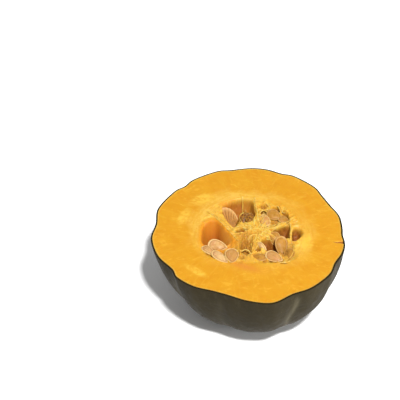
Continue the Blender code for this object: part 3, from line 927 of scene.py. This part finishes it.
def seed_finish(look):
    """Moist seed coats with a pale rim, fine grain along the seed, and tones from pink to olive; painted shade
    darkens the groove inside the rim and the deepest seeds.
    """
    finish = Finish("seed_coat")
    local = finish.mark("grain", "Vector")
    tone = finish.mark("tone")
    lines = finish.noise(finish.vector("MULTIPLY", local, (0.25, 1.6, 1.0)), 1.0, roughness=0.6)
    blotch = finish.noise(local, 3.4, detail=4, roughness=0.6, distortion=0.7)
    mixed = finish.plus(tone, finish.fit(blotch, 0.25, 0.75, -0.3, 0.3))
    pink = finish.fit(finish.noise(local, 4.2, detail=2), 0.5, 0.7, 0, 0.6)
    smears = finish.fit(finish.noise(local, 1.7, distortion=1.2), 0.42, 0.64)
    film = finish.times(smears, finish.fit(tone, 0.1, 0.9))
    rim = finish.times(finish.mark("rim"), finish.fit(finish.noise(local, 2.2), 0.3, 0.55, 0.25, 1.0))
    colour = finish.layered(
        look.pale_colour,
        (finish.fit(mixed, 0.0, 0.5), look.colour),
        (finish.fit(mixed, 0.5, 1.0), look.olive_colour),
        # Tones above 1 are darker and browner: painted shade on the seeds deep in the back pocket
        (finish.fit(mixed, 1.02, 1.3), paint(106, 60, 18)),
        (finish.times(pink, finish.fit(tone, 0.9, 0.4)), paint(230, 160, 112)),
        (finish.fit(lines, 0.46, 0.7, 0, 0.55), paint(178, 120, 62)),
        # Darker in the groove inside the rim: painted shade
        (finish.times(finish.mark("furrow"), 0.6), paint(168, 108, 52)),
        (finish.times(film, 0.7), paint(204, 144, 48)),
        (finish.times(rim, finish.fit(tone, 1.1, 0.3, 0.1, 1.0)), look.rim_colour),
    )
    normal = finish.bump(0.35, 0.2, (lines, 1))
    finish.set(Base_Color=colour, Roughness=finish.fit(blotch, 0.3, 0.7, 0.4, 0.55), Normal=normal)
    finish.set(Subsurface_Weight=0.2, Subsurface_Scale=0.002, Subsurface_Radius=(1.0, 0.6, 0.3))
    finish.set(Coat_Weight=0.04, Coat_Roughness=0.25, Specular_IOR_Level=0.15)
    return finish.material


def skin_finish():
    """Thin wet skin, lighter tan on the crests of its folds, painted light, and browner between them, painted
    shade, with a pale edge.
    """
    finish = Finish("skin")
    patch = finish.noise(finish.place, 1.8, detail=4, distortion=0.6)
    colour = finish.layered(
        paint(184, 122, 54),
        # Lighter on the folds' crests: painted light; the browner base between them is painted shade
        (finish.times(finish.mark("crest"), finish.fit(patch, 0.25, 0.6, 0.6, 1.0)), paint(226, 164, 88)),
        (finish.mark("edge"), paint(248, 194, 122)),
    )
    normal = finish.bump(0.35, 0.2, (patch, 1))
    finish.set(Base_Color=colour, Roughness=finish.fit(patch, 0.3, 0.7, 0.28, 0.42), Normal=normal)
    finish.set(Subsurface_Weight=0.25, Subsurface_Scale=0.0015, Subsurface_Radius=(1.0, 0.6, 0.3))
    finish.set(Coat_Weight=0.1, Coat_Roughness=0.2, Specular_IOR_Level=0.3)
    return finish.material


# Pieces


def groove_streaks_and_highlight(direction, height):
    """Pale streaks down the grooves: a painted highlight down one, a weak line down another, and faint ones
    down all.
    """
    below = 1 - height / FACE_HEIGHT
    wander = 2.0 * np.sin(height / 9)

    def streak(groove, width):
        return ridge_of(turn_from(direction, groove + wander), width)

    # A painted highlight along one groove's crease
    highlight = 0.7 * streak(*GROOVE_HIGHLIGHT) * eased(below, 0.0, 0.12) * (1 - eased(below, 0.75, 1.0))
    weak = streak(*WEAK_STREAK) * eased(below, 0.02, 0.3) * (1 - eased(below, 0.6, 0.9))
    others = sum(streak(groove, 3.0) for groove in GROOVES) * eased(below, 0, 0.2)
    return np.clip(0.75 * highlight + 0.3 * weak + 0.12 * others, 0, 1)


class SQUASH_OT_rind(bpy.types.Operator):
    """Builds the ribbed rind as a thin shell, with its blossom scar"""

    bl_idname = "squash.rind"
    bl_label = "Rind"

    def execute(self, context):
        look = context.scene.squash_rind
        ring = np.arange(look.around)
        direction = 360 * ring / look.around
        points, faces = [], []
        marks = {"streak": [], "cork": [], "cut": []}

        def add_ring(places, **values):
            if points:
                last = ring + (len(points) - 1) * look.around
                faces.extend(ring_faces(last, last + look.around))
            points.append(places)
            for name, rows in marks.items():
                rows.append(np.zeros(look.around) + values.get(name, 0.0))

        # The cut edge, from the flesh out to the skin
        split = np.clip(1 - np.abs(turn_from(direction, NICK_DIRECTION)) / NICK_HALF_ANGLE, 0, 1)
        for inwards, drop in CUT_RINGS:
            places = skin_place(direction, 0.0, look.groove_depth)
            places[:, :2] -= outward(direction) * look.thickness * inwards
            places[:, 2] -= drop + NICK_DEPTH * split
            add_ring(places, cut=1.0)
        # The skin, down to the foot
        for step in np.linspace(0, 1, look.levels + 1) ** 1.05:
            places = skin_place(direction, step, look.groove_depth)
            bumps = SKIN_SWELL * rough_noise(places * (1, 1, 0.5), 13, seed=101)
            bumps += SKIN_GRAIN * noise(places, 2.4, seed=111)
            bumps *= eased(step, 0.0, 0.06) * (1 - eased(step, 0.93, 1.0))
            places[:, :2] += outward(direction) * bumps[:, None]
            if step == 0:
                places[:, 2] -= SKIN_DROP + NICK_DEPTH * split
            # Pale streaks and a painted highlight down the grooves
            add_ring(places, streak=groove_streaks_and_highlight(direction, places[:, 2]))
        # The flat foot and the blossom scar
        pole = places.mean(0)
        reach = np.hypot(*(places - pole)[:, :2].T)
        unit = (places - pole) / reach[:, None]
        for share in np.linspace(0.92, 0.0, 12)[:-1]:
            radius = SCAR_RADIUS + (reach - SCAR_RADIUS) * share
            add_ring(pole + unit * radius[:, None])
        for radius in np.linspace(SCAR_RADIUS, 0.4, 22):
            places = pole + unit * radius
            depth = SCAR_DEPTH * (1 - eased(radius, SCAR_FLOOR_RADIUS, SCAR_RADIUS))
            knob = 0.8 * ridge_of(radius, 1.6) + 0.2 * rough_noise(places, 1.8, seed=121)
            places[:, 2] = np.maximum(depth - knob * (radius < SCAR_FLOOR_RADIUS), 0)
            add_ring(places, cork=1 - eased(radius, SCAR_FLOOR_RADIUS - 0.5, SCAR_RADIUS + 1.0))
        # The inner side, back up to the cut
        centre = np.array([*pole[:2], SCAR_DEPTH + look.thickness])
        for radius in (0.4, SCAR_RADIUS + 1):
            add_ring(centre + unit * radius)
        for step in INNER_STEPS:
            add_ring(skin_place(direction, step, look.groove_depth, look.thickness))
        faces.extend(ring_faces(ring + (len(points) - 1) * look.around, ring))
        marks = {name: np.concatenate(rows) for name, rows in marks.items()}
        add_piece("rind", np.concatenate(points), faces, rind_finish(look), marks)
        return {"FINISHED"}


def flesh_marks(x, y, lift, to_rind):
    """What the flesh's finish reads at each point of the cut face: its depth, and where each tint shows,
    painted shade and light among them.
    """
    below = -lift
    beyond = beyond_cavity(x, y)
    inside = 1 - eased(beyond, -4, 0)
    turned, _ = about(x, y, CAVITY_MIDDLE)
    _, from_core = about(x, y, CORE)
    jelly = in_jelly(x, y)
    smooth, back = (pocket_share(x, y, name) for name in (SMOOTH_POCKET, "back"))
    in_back = (1 - eased(back, 1.0, 1.08)) * eased(below, 0.3, 7.0)
    ring_width = 14 + 5 * rough_noise(plan_points(x, y), 9, seed=201)
    ring_width *= 1 + 0.8 * ridge_of(turn_from(turned, 140), 35)
    pale = round_table(turned, PALE_RING) * (1 - eased(beyond, 0, ring_width)) * eased(beyond, -6, 1)
    dull = 1 - 0.5 * ridge_of(turn_from(turned, 55), 32) * (1 - eased(beyond, 1, 8))
    core = (1 - jelly) * inside * (1 - eased(below, 2.0, 4.5)) * (1 - 0.85 * eased(from_core, 14, 28))
    # Painted shade in the nick, the darkest pockets and the hollows
    dark = eased(nick_share(x, y)[0], 0.1, 0.6)
    for name, strength in SHADED_POCKETS.items():
        in_pocket = 1 - eased(pocket_share(x, y, name), 0.86, 1.02)
        dark = np.maximum(dark, strength * in_pocket * eased(below, 0.8, 7.0))
    for _, strength, *oval in HOLLOWS:
        dark = np.maximum(dark, np.minimum(strength * in_oval(x, y, *oval), 1))
    # Painted light: a glowing orange near the smooth pocket's outline and in the back pocket
    painted_glow_in_back = 0.6 * (1 - eased(back, 1.0, 1.16)) * eased(-x, 8, 16)
    glow = np.maximum(0.9 * (1 - eased(smooth, 0.98, 1.3)), painted_glow_in_back)
    # Painted shade towards the smooth pocket's bottom, taken back on its right, where the septum's shadow
    # falls, and at the far left
    bowl = (1 - eased(smooth, 0.35, 1.0)) * (1 - 0.7 * eased(x, -25, -15)) * (1 - 0.5 * eased(-x, 29, 37))
    return {
        "below": below,
        "to_rind": to_rind,
        "pale": (np.clip(pale, 0, 1) + 0.55 * inside) * dull,
        "pulp": inside * eased(below, 1.8, 3.6) * (1 - eased(below, 7, 10)) + jelly,
        "jelly": jelly,
        "string": core_strings(x, y),
        "core": core * (1 - 0.8 * ridge_of(turn_from(turned, 50), 38) * eased(from_core, 12, 20)),
        "smooth": (1 - eased(smooth, 0.97, 1.08)) * eased(below, 0.3, 2.2),
        "bowl": bowl,
        # Painted light on the right of the smooth wall, which faces away from the key light
        "lee": 0.55 * eased(x, -26.0, -19.0),
        "glow": glow,
        "warm": in_back * eased(-x, 4.5, 6.5),
        "olive": in_back * eased(x, -6.5, -4.5),
        "dark": dark,
        "bruise": 0.75 * ridge_of(np.hypot((x + 1.5) / 13, (y + 42 + 0.3 * x) / 3.6), 1.0),
        "yellow": np.max([in_oval(x, y, *patch) for patch in YELLOW_PATCHES], axis=0),
    }


class SQUASH_OT_flesh(bpy.types.Operator):
    """Builds the cut flesh with the pockets of the seed cavity"""

    bl_idname = "squash.flesh"
    bl_label = "Flesh"

    def execute(self, context):
        look = context.scene.squash_flesh
        rind = context.scene.squash_rind
        inwards = rind.thickness - FLESH_OVERLAP
        direction, share = disc_cells(look.cells)
        edge = outline_radius(direction) - inwards
        flat = outward(direction) * (edge * share)[:, None] + np.array(AXIS_AT_CUT)
        lift = face_height(*flat.T)
        points = [np.c_[flat, lift + FACE_HEIGHT]]
        cells, rim = grid_faces(look.cells, look.cells)
        faces, last_ring, made = cells.tolist(), rim, len(flat)
        for step in FLESH_STEPS:
            ring = np.arange(made, made + len(rim))
            points.append(skin_place(direction[rim], step, rind.groove_depth, inwards))
            faces += ring_faces(last_ring, ring)
            last_ring, made = ring, made + len(rim)
        points.append(points[-1].mean(0, keepdims=True) + (0, 0, 1.0))
        faces += [(int(a), int(b), made) for a, b in zip(last_ring, np.roll(last_ring, -1))]
        marks = flesh_marks(*flat.T, lift, edge * (1 - share))
        underneath = made + 1 - len(flat)
        for name, values in marks.items():
            marks[name] = np.r_[values, np.full(underneath, 10.0 if name == "to_rind" else 0.0)]
        flesh = add_piece("flesh", np.concatenate(points), faces, flesh_finish(look), marks)
        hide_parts(NODE)
        return {"FINISHED"}


def tube(path, radii):
    """Points and faces of a closed tube along a path, with a radius at each point."""
    path = np.asarray(path, float)
    ahead = np.gradient(path, axis=0)
    ahead /= np.maximum(np.linalg.norm(ahead, axis=1), 1e-9)[:, None]
    side = np.cross(ahead, (0, 0, 1.0))
    side /= np.maximum(np.linalg.norm(side, axis=1), 1e-6)[:, None]
    up = np.cross(side, ahead)
    ring = np.arange(FIBRE_SIDES)
    turn = (2 * np.pi * ring / FIBRE_SIDES)[None, :, None]
    rings = path[:, None] + radii[:, None, None] * (side[:, None] * np.cos(turn) + up[:, None] * np.sin(turn))
    points = np.concatenate([rings.reshape(-1, 3), path[:1], path[-1:]])
    last = (len(path) - 1) * FIBRE_SIDES
    faces = []
    for first in range(0, last, FIBRE_SIDES):
        faces += ring_faces(ring + first, ring + first + FIBRE_SIDES)
    start, end = len(points) - 2, len(points) - 1
    for i in ring.tolist():
        following = (i + 1) % FIBRE_SIDES
        faces += [(start, following, i), (end, last + i, last + following)]
    return points, faces


def fine_fibres(tree, count, draw):
    """Thin fibres that run out from the core over septa and seeds."""
    direction = draw.uniform(0, 360, count * 6)
    start = np.array(CORE) + outward(direction) * draw.uniform(1, 34, count * 6)[:, None]
    x, y = start.T
    kept = np.flatnonzero((beyond_cavity(x, y) < 0) & (cavity_depth(x, y) < 2.2))
    length = draw.uniform(5, 16, len(kept))
    heading = np.radians(direction[kept] + draw.normal(0, 14, len(kept)))
    bend = draw.normal(0, 0.07, len(kept))
    place = start[kept]
    route = [place]
    for _ in range(FIBRE_STEPS - 1):
        heading = heading + bend + draw.normal(0, 0.09, len(kept))
        step = np.stack([np.cos(heading), np.sin(heading)], -1) * (length / FIBRE_STEPS)[:, None]
        place = place + step
        route.append(place)
    route = np.array(route)
    x, y = route[..., 0].ravel(), route[..., 1].ravel()

    def most_along(values):
        return values.reshape(route.shape[:2]).max(0)

    # Few fibres lie in front, and none on the left or over the glassy pulp
    left_end, front_end = route[..., 0].min(0), route[..., 1].min(0)
    in_front = front_end < FIBRE_FRONT
    bare = in_front & (draw.uniform(0, 1, len(in_front)) < FIBRE_FRONT_LOSS)
    bare |= (left_end < FIBRE_LEFT) | (in_front & (left_end < FIBRE_LEFT_IN_FRONT))
    bare |= most_along(in_jelly(x, y)) > FIBRE_ON_JELLY
    over_cavity = (most_along(cavity_depth(x, y)) < FIBRE_DEEPEST) & (most_along(beyond_cavity(x, y)) < 1.0)
    kept = np.flatnonzero(over_cavity & ~bare)[:count]
    taper = 0.35 + 0.65 * np.sin(np.pi * (0.9 * np.linspace(0, 1, FIBRE_STEPS) + 0.05))
    return [
        tube(draped(tree, route[:, i], -0.6 * thick), thick * taper)
        for i, thick in zip(kept, draw.uniform(0.2, 0.55, len(kept)))
    ]


def draped(tree, route, lift):
    """Points on the flesh or seeds under a route in the plan, pulled tight over what lies between."""
    heights = []
    for x, y in route:
        place, *_ = tree.ray_cast(Vector((x * MM, y * MM, FACE_HEIGHT * MM + 0.02)), Vector((0, 0, -1)))
        heights.append(place.z / MM)
    heights = np.array(heights)
    for _ in range(3):
        padded = np.pad(heights, 1, mode="edge")
        heights = np.maximum(heights, (padded[:-2] + padded[1:-1] + padded[2:]) / 3)
    return np.c_[route, np.clip(heights + lift, FACE_HEIGHT + DRAPED_LOWEST, FACE_HEIGHT + DRAPED_HIGHEST)]


def surface_of(names):
    """The built pieces of those names as one tree to find places on."""
    points, faces = [], []
    for name in names:
        mesh = bpy.data.objects[name].data
        start = len(points)
        points += [v.co for v in mesh.vertices]
        faces += [tuple(start + i for i in p.vertices) for p in mesh.polygons]
    return BVHTree.FromPolygons(points, faces)


def strand_tubes(radius, spine, draw, count=STRAND_FIBRES):
    """A few fibres twisted round a spine."""
    tubes = []
    t = np.linspace(0, 1, len(spine))
    for k in range(count):
        phase = draw.uniform(0, 2 * np.pi)
        twist = np.stack([np.cos(phase + 7 * t), np.sin(phase + 7 * t), 0.5 * np.sin(phase + 5 * t)], -1)
        width = radius * (0.8 if k == 0 else 0.5) * (1 + 0.2 * np.sin(phase + 9 * t))
        tubes.append(tube(spine + twist * radius * 0.4, width))
    return tubes


class SQUASH_OT_fibres(bpy.types.Operator):
    """Builds the fibres of the seed cavity: the main strands and many fine ones"""

    bl_idname = "squash.fibres"
    bl_label = "Fibres"

    def execute(self, context):
        look = context.scene.squash_fibres
        draw = np.random.default_rng(7)
        tree = surface_of(("flesh", "seeds"))
        tubes = []
        for radius, route in (BACK_ARC, *STRANDS):
            spine = smooth_through(np.array(route) + (0, 0, FACE_HEIGHT), 9, closed=False)
            tubes += strand_tubes(radius, spine, draw)
        # The arc's fibres come first: browner, painted shade
        brown = sum(len(points) for points, _ in tubes[:STRAND_FIBRES])
        for radius, route in DRAPED:
            path = smooth_through(route, 8, closed=False)
            path += 0.35 * noise(plan_points(*path.T), 2.6, seed=401)[:, None]
            tubes += strand_tubes(radius, draped(tree, path, radius * 0.4), draw, count=2)
        tubes += fine_fibres(tree, look.count, draw)
        points, faces = gather(tubes)
        arc_shade_share = np.where(np.arange(len(points)) < brown, 0.75, 0.0)
        add_piece("fibres", points, faces, fibre_finish(look), {"brown": arc_shade_share})
        return {"FINISHED"}


def gather(parts):
    """Several meshes' points and faces as one."""
    points, faces, start = [], [], 0
    for part_points, part_faces in parts:
        points.append(part_points)
        faces += [tuple(start + i for i in face) for face in part_faces]
        start += len(part_points)
    return np.concatenate(points), faces


def seed_shape(length, width):
    """Points, faces, and marks of the rim and of the groove's painted shade, for a flat teardrop seed with a
    raised rim.
    """
    ring = np.arange(SEED_AROUND)
    turn = 2 * np.pi * ring / SEED_AROUND
    tip = ridge_of(turn_from(np.degrees(turn), 0), 16)
    x = length / 2 * (np.cos(turn) * (1 + 0.05 * tip))
    y = width / 2 * np.sin(turn) * (1 - SEED_TAPER * np.cos(turn)) * (1 - 0.2 * tip)
    levels = 1 - (1 - np.linspace(0, 1, SEED_RINGS + 1)[1:]) ** 1.3
    dome = SEED_EDGE / 2 + (SEED_THICKNESS - SEED_EDGE) / 2 * np.clip(1 - (levels / 0.9) ** 2.2, 0, 1)
    rim = SEED_RIM_HEIGHT * ridge_of(levels - 0.91, 0.06) - SEED_FURROW_DEPTH * ridge_of(levels - 0.8, 0.06)
    edge = np.sqrt(np.clip(1 - ((levels - 0.9) / 0.1).clip(0, 1) ** 2, 0, 1))
    marks_at = np.c_[eased(levels, 0.8, 0.88), ridge_of(levels - 0.77, 0.07)]
    points, faces, marks = [], [], []
    for side in (1, -1):
        middle = sum(len(p) for p in points)
        points.append(np.array([[0, 0, side * SEED_THICKNESS / 2]]))
        marks.append(np.zeros((1, 2)))
        # The lower side uses the upper side's outermost ring
        count = SEED_RINGS if side > 0 else SEED_RINGS - 1
        for level, lift, mark in zip(levels[:count], ((dome + rim) * edge)[:count], marks_at):
            points.append(np.c_[x * level, y * level, np.full(SEED_AROUND, side * lift)])
            marks.append(np.tile(mark, (SEED_AROUND, 1)))
        rings = [middle + 1 + k * SEED_AROUND + ring for k in range(count)]
        if side > 0:
            outer = rings[-1]
        else:
            rings.append(outer)
        made = [[middle, a, b] for a, b in zip(rings[0].tolist(), np.roll(rings[0], -1).tolist())]
        for inner, following in zip(rings[:-1], rings[1:]):
            made += ring_faces(following, inner)
        faces += [face[::side] for face in made]
    return np.concatenate(points), faces, np.concatenate(marks)


class SQUASH_OT_seeds(bpy.types.Operator):
    """Builds the seeds that hang in the cavity"""

    bl_idname = "squash.seeds"
    bl_label = "Seeds"

    def execute(self, context):
        look = context.scene.squash_seeds
        draw = np.random.default_rng(3)
        shapes, rims, grains, tones = [], [], [], []
        for seed in SEEDS:
            points, faces, rim = seed_shape(seed.length, seed.width)
            warp = 0.25 * noise(points + draw.uniform(0, 90, 3), 5.0, seed=301)
            bow = draw.uniform(-0.004, 0.006) * points[:, 0] ** 2
            grains.append(points + draw.uniform(0, 60, 3))
            points[:, 2] += warp + bow
            turned = seed_turn(seed)
            shapes.append((points @ turned[:3, :3].T + turned[:3, 3], faces))
            rims.append(rim)
            tones.append(np.full(len(points), seed.tone))
        points, faces = gather(shapes)
        rim, furrow = np.concatenate(rims).T
        marks = {"rim": rim, "furrow": furrow, "tone": np.concatenate(tones), "grain": np.concatenate(grains)}
        add_piece("seeds", points, faces, seed_finish(look), marks)
        return {"FINISHED"}


class SQUASH_OT_folded_skin(bpy.types.Operator):
    """Builds the thin folded skin that lies over two of the seeds"""

    bl_idname = "squash.folded_skin"
    bl_label = "Folded skin"

    def execute(self, context):
        edge, foot = (smooth_through(curve, FAN_COLUMNS // 6, closed=False) for curve in (FAN_EDGE, FAN_FOOT))
        u = np.linspace(0, 1, FAN_COLUMNS + 1)[None]
        v = np.linspace(0, 1, FAN_ROWS + 1)[:, None]
        sheet = edge[None] * (1 - v[..., None]) + foot[None] * v[..., None]
        sag = FAN_SAG * np.sin(np.pi * v) * np.sin(np.pi * u)
        fold = np.sin(2 * np.pi * FAN_FOLDS * u + 0.8 * np.sin(3 * v))
        fold = fold * np.sin(np.pi * (0.08 + 0.84 * v)) ** 0.6 * (1 - 0.3 * v)
        uneven = noise(sheet.reshape(-1, 3), 2.4, seed=501).reshape(fold.shape)
        sheet[..., 2] += FACE_HEIGHT - sag + FAN_FOLD_HEIGHT * fold + 0.3 * uneven + 0.5 * ridge_of(v, 0.1)
        upper = sheet.reshape(-1, 3)
        cells, rim = grid_faces(FAN_ROWS, FAN_COLUMNS)
        under = len(upper)
        faces = cells.tolist() + (cells[:, ::-1] + under).tolist()
        faces += [face[::-1] for face in ring_faces(rim, rim + under)]
        points = np.concatenate([upper, upper - (0, 0, FAN_THICKNESS)])
        # Painted light on the folds' crests, painted shade between them
        crest = 0.5 + 0.5 * fold + 0.2 * uneven
        pale = np.broadcast_to(ridge_of(v, 0.12), fold.shape)
        marks = {"crest": np.tile(crest.ravel(), 2), "edge": np.tile(pale.ravel(), 2)}
        add_piece("folded_skin", points, faces, skin_finish(), marks)
        return {"FINISHED"}


# Stage


def area_light(name, place, size, power):
    light = bpy.data.lights.new(name, "AREA")
    light.energy = power
    light.size = size
    made = bpy.data.objects.new(name, light)
    made.location = place
    made.rotation_mode = "QUATERNION"
    made.rotation_quaternion = (Vector(LIGHTS_AIM) - Vector(place)).to_track_quat("-Z", "Y")
    bpy.context.scene.collection.objects.link(made)


class SQUASH_OT_stage(bpy.types.Operator):
    """Sets the pale floor, the soft lights and the camera"""

    bl_idname = "squash.stage"
    bl_label = "Floor, lights and camera"

    def execute(self, context):
        look = context.scene.squash_stage
        scene = context.scene
        mesh = bpy.data.meshes.new("floor")
        corners = [(FLOOR_HALF * x, FLOOR_HALF * y, 0) for x, y in ((-1, -1), (1, -1), (1, 1), (-1, 1))]
        mesh.from_pydata(corners, [], [(0, 1, 2, 3)])
        finish = Finish("floor")
        grain = finish.noise(finish.place, 60, detail=2)
        tint = finish.mix(finish.fit(grain, 0.3, 0.7), look.floor_colour, (0.96, 0.96, 0.96, 1))
        finish.set(Base_Color=tint, Roughness=0.8)
        mesh.materials.append(finish.material)
        floor = bpy.data.objects.new("floor", mesh)
        scene.collection.objects.link(floor)
        for name, (place, size, share) in LIGHTS.items():
            area_light(name, place, size, look.key_strength * share)
        world = bpy.data.worlds.new("sky")
        world.use_nodes = True
        sky = world.node_tree.nodes["Background"].inputs
        sky["Strength"].default_value = look.fill_strength
        sky["Color"].default_value = (1, 1, 1, 1)
        scene.world = world
        scene.view_settings.view_transform = "Standard"
        lens = bpy.data.cameras.new("camera")
        lens.lens = look.lens
        lens.sensor_width = SENSOR_WIDTH
        camera = bpy.data.objects.new("camera", lens)
        camera.location = CAMERA_PLACE
        ahead = Vector(CAMERA_AIM)
        right = ahead.cross(Vector((0, 0, 1))).normalized()
        camera.rotation_mode = "QUATERNION"
        camera.rotation_quaternion = Matrix((right, right.cross(ahead), -ahead)).transposed().to_quaternion()
        scene.collection.objects.link(camera)
        scene.camera = camera
        return {"FINISHED"}


class SQUASH_PT_panel(bpy.types.Panel):
    """Lists the pieces of the squash with their settings"""

    bl_idname = "SQUASH_PT_panel"
    bl_label = "Half squash"
    bl_space_type = "VIEW_3D"
    bl_region_type = "UI"
    bl_category = "Squash"

    def draw(self, context):
        for operator, settings in STEPS:
            box = self.layout.box()
            box.operator(operator)
            for key in getattr(context.scene, settings).bl_rna.properties.keys():
                if key not in ("name", "rna_type"):
                    box.prop(getattr(context.scene, settings), key)


SETTINGS = {
    "squash_rind": RindSettings,
    "squash_flesh": FleshSettings,
    "squash_fibres": FibreSettings,
    "squash_seeds": SeedSettings,
    "squash_stage": StageSettings,
}
STEPS = (
    ("squash.rind", "squash_rind"),
    ("squash.flesh", "squash_flesh"),
    ("squash.seeds", "squash_seeds"),
    ("squash.folded_skin", "squash_seeds"),
    ("squash.fibres", "squash_fibres"),
    ("squash.stage", "squash_stage"),
)
CLASSES = (
    *SETTINGS.values(),
    SQUASH_OT_rind,
    SQUASH_OT_flesh,
    SQUASH_OT_fibres,
    SQUASH_OT_seeds,
    SQUASH_OT_folded_skin,
    SQUASH_OT_stage,
    SQUASH_PT_panel,
)


def register():
    for made in CLASSES:
        bpy.utils.register_class(made)
    for name, settings in SETTINGS.items():
        setattr(bpy.types.Scene, name, PointerProperty(type=settings))


def unregister():
    for name in SETTINGS:
        delattr(bpy.types.Scene, name)
    for made in reversed(CLASSES):
        bpy.utils.unregister_class(made)


def main():
    register()
    for operator, _ in STEPS:
        group, name = operator.split(".")
        getattr(getattr(bpy.ops, group), name)()


if __name__ == "__main__":
    main()
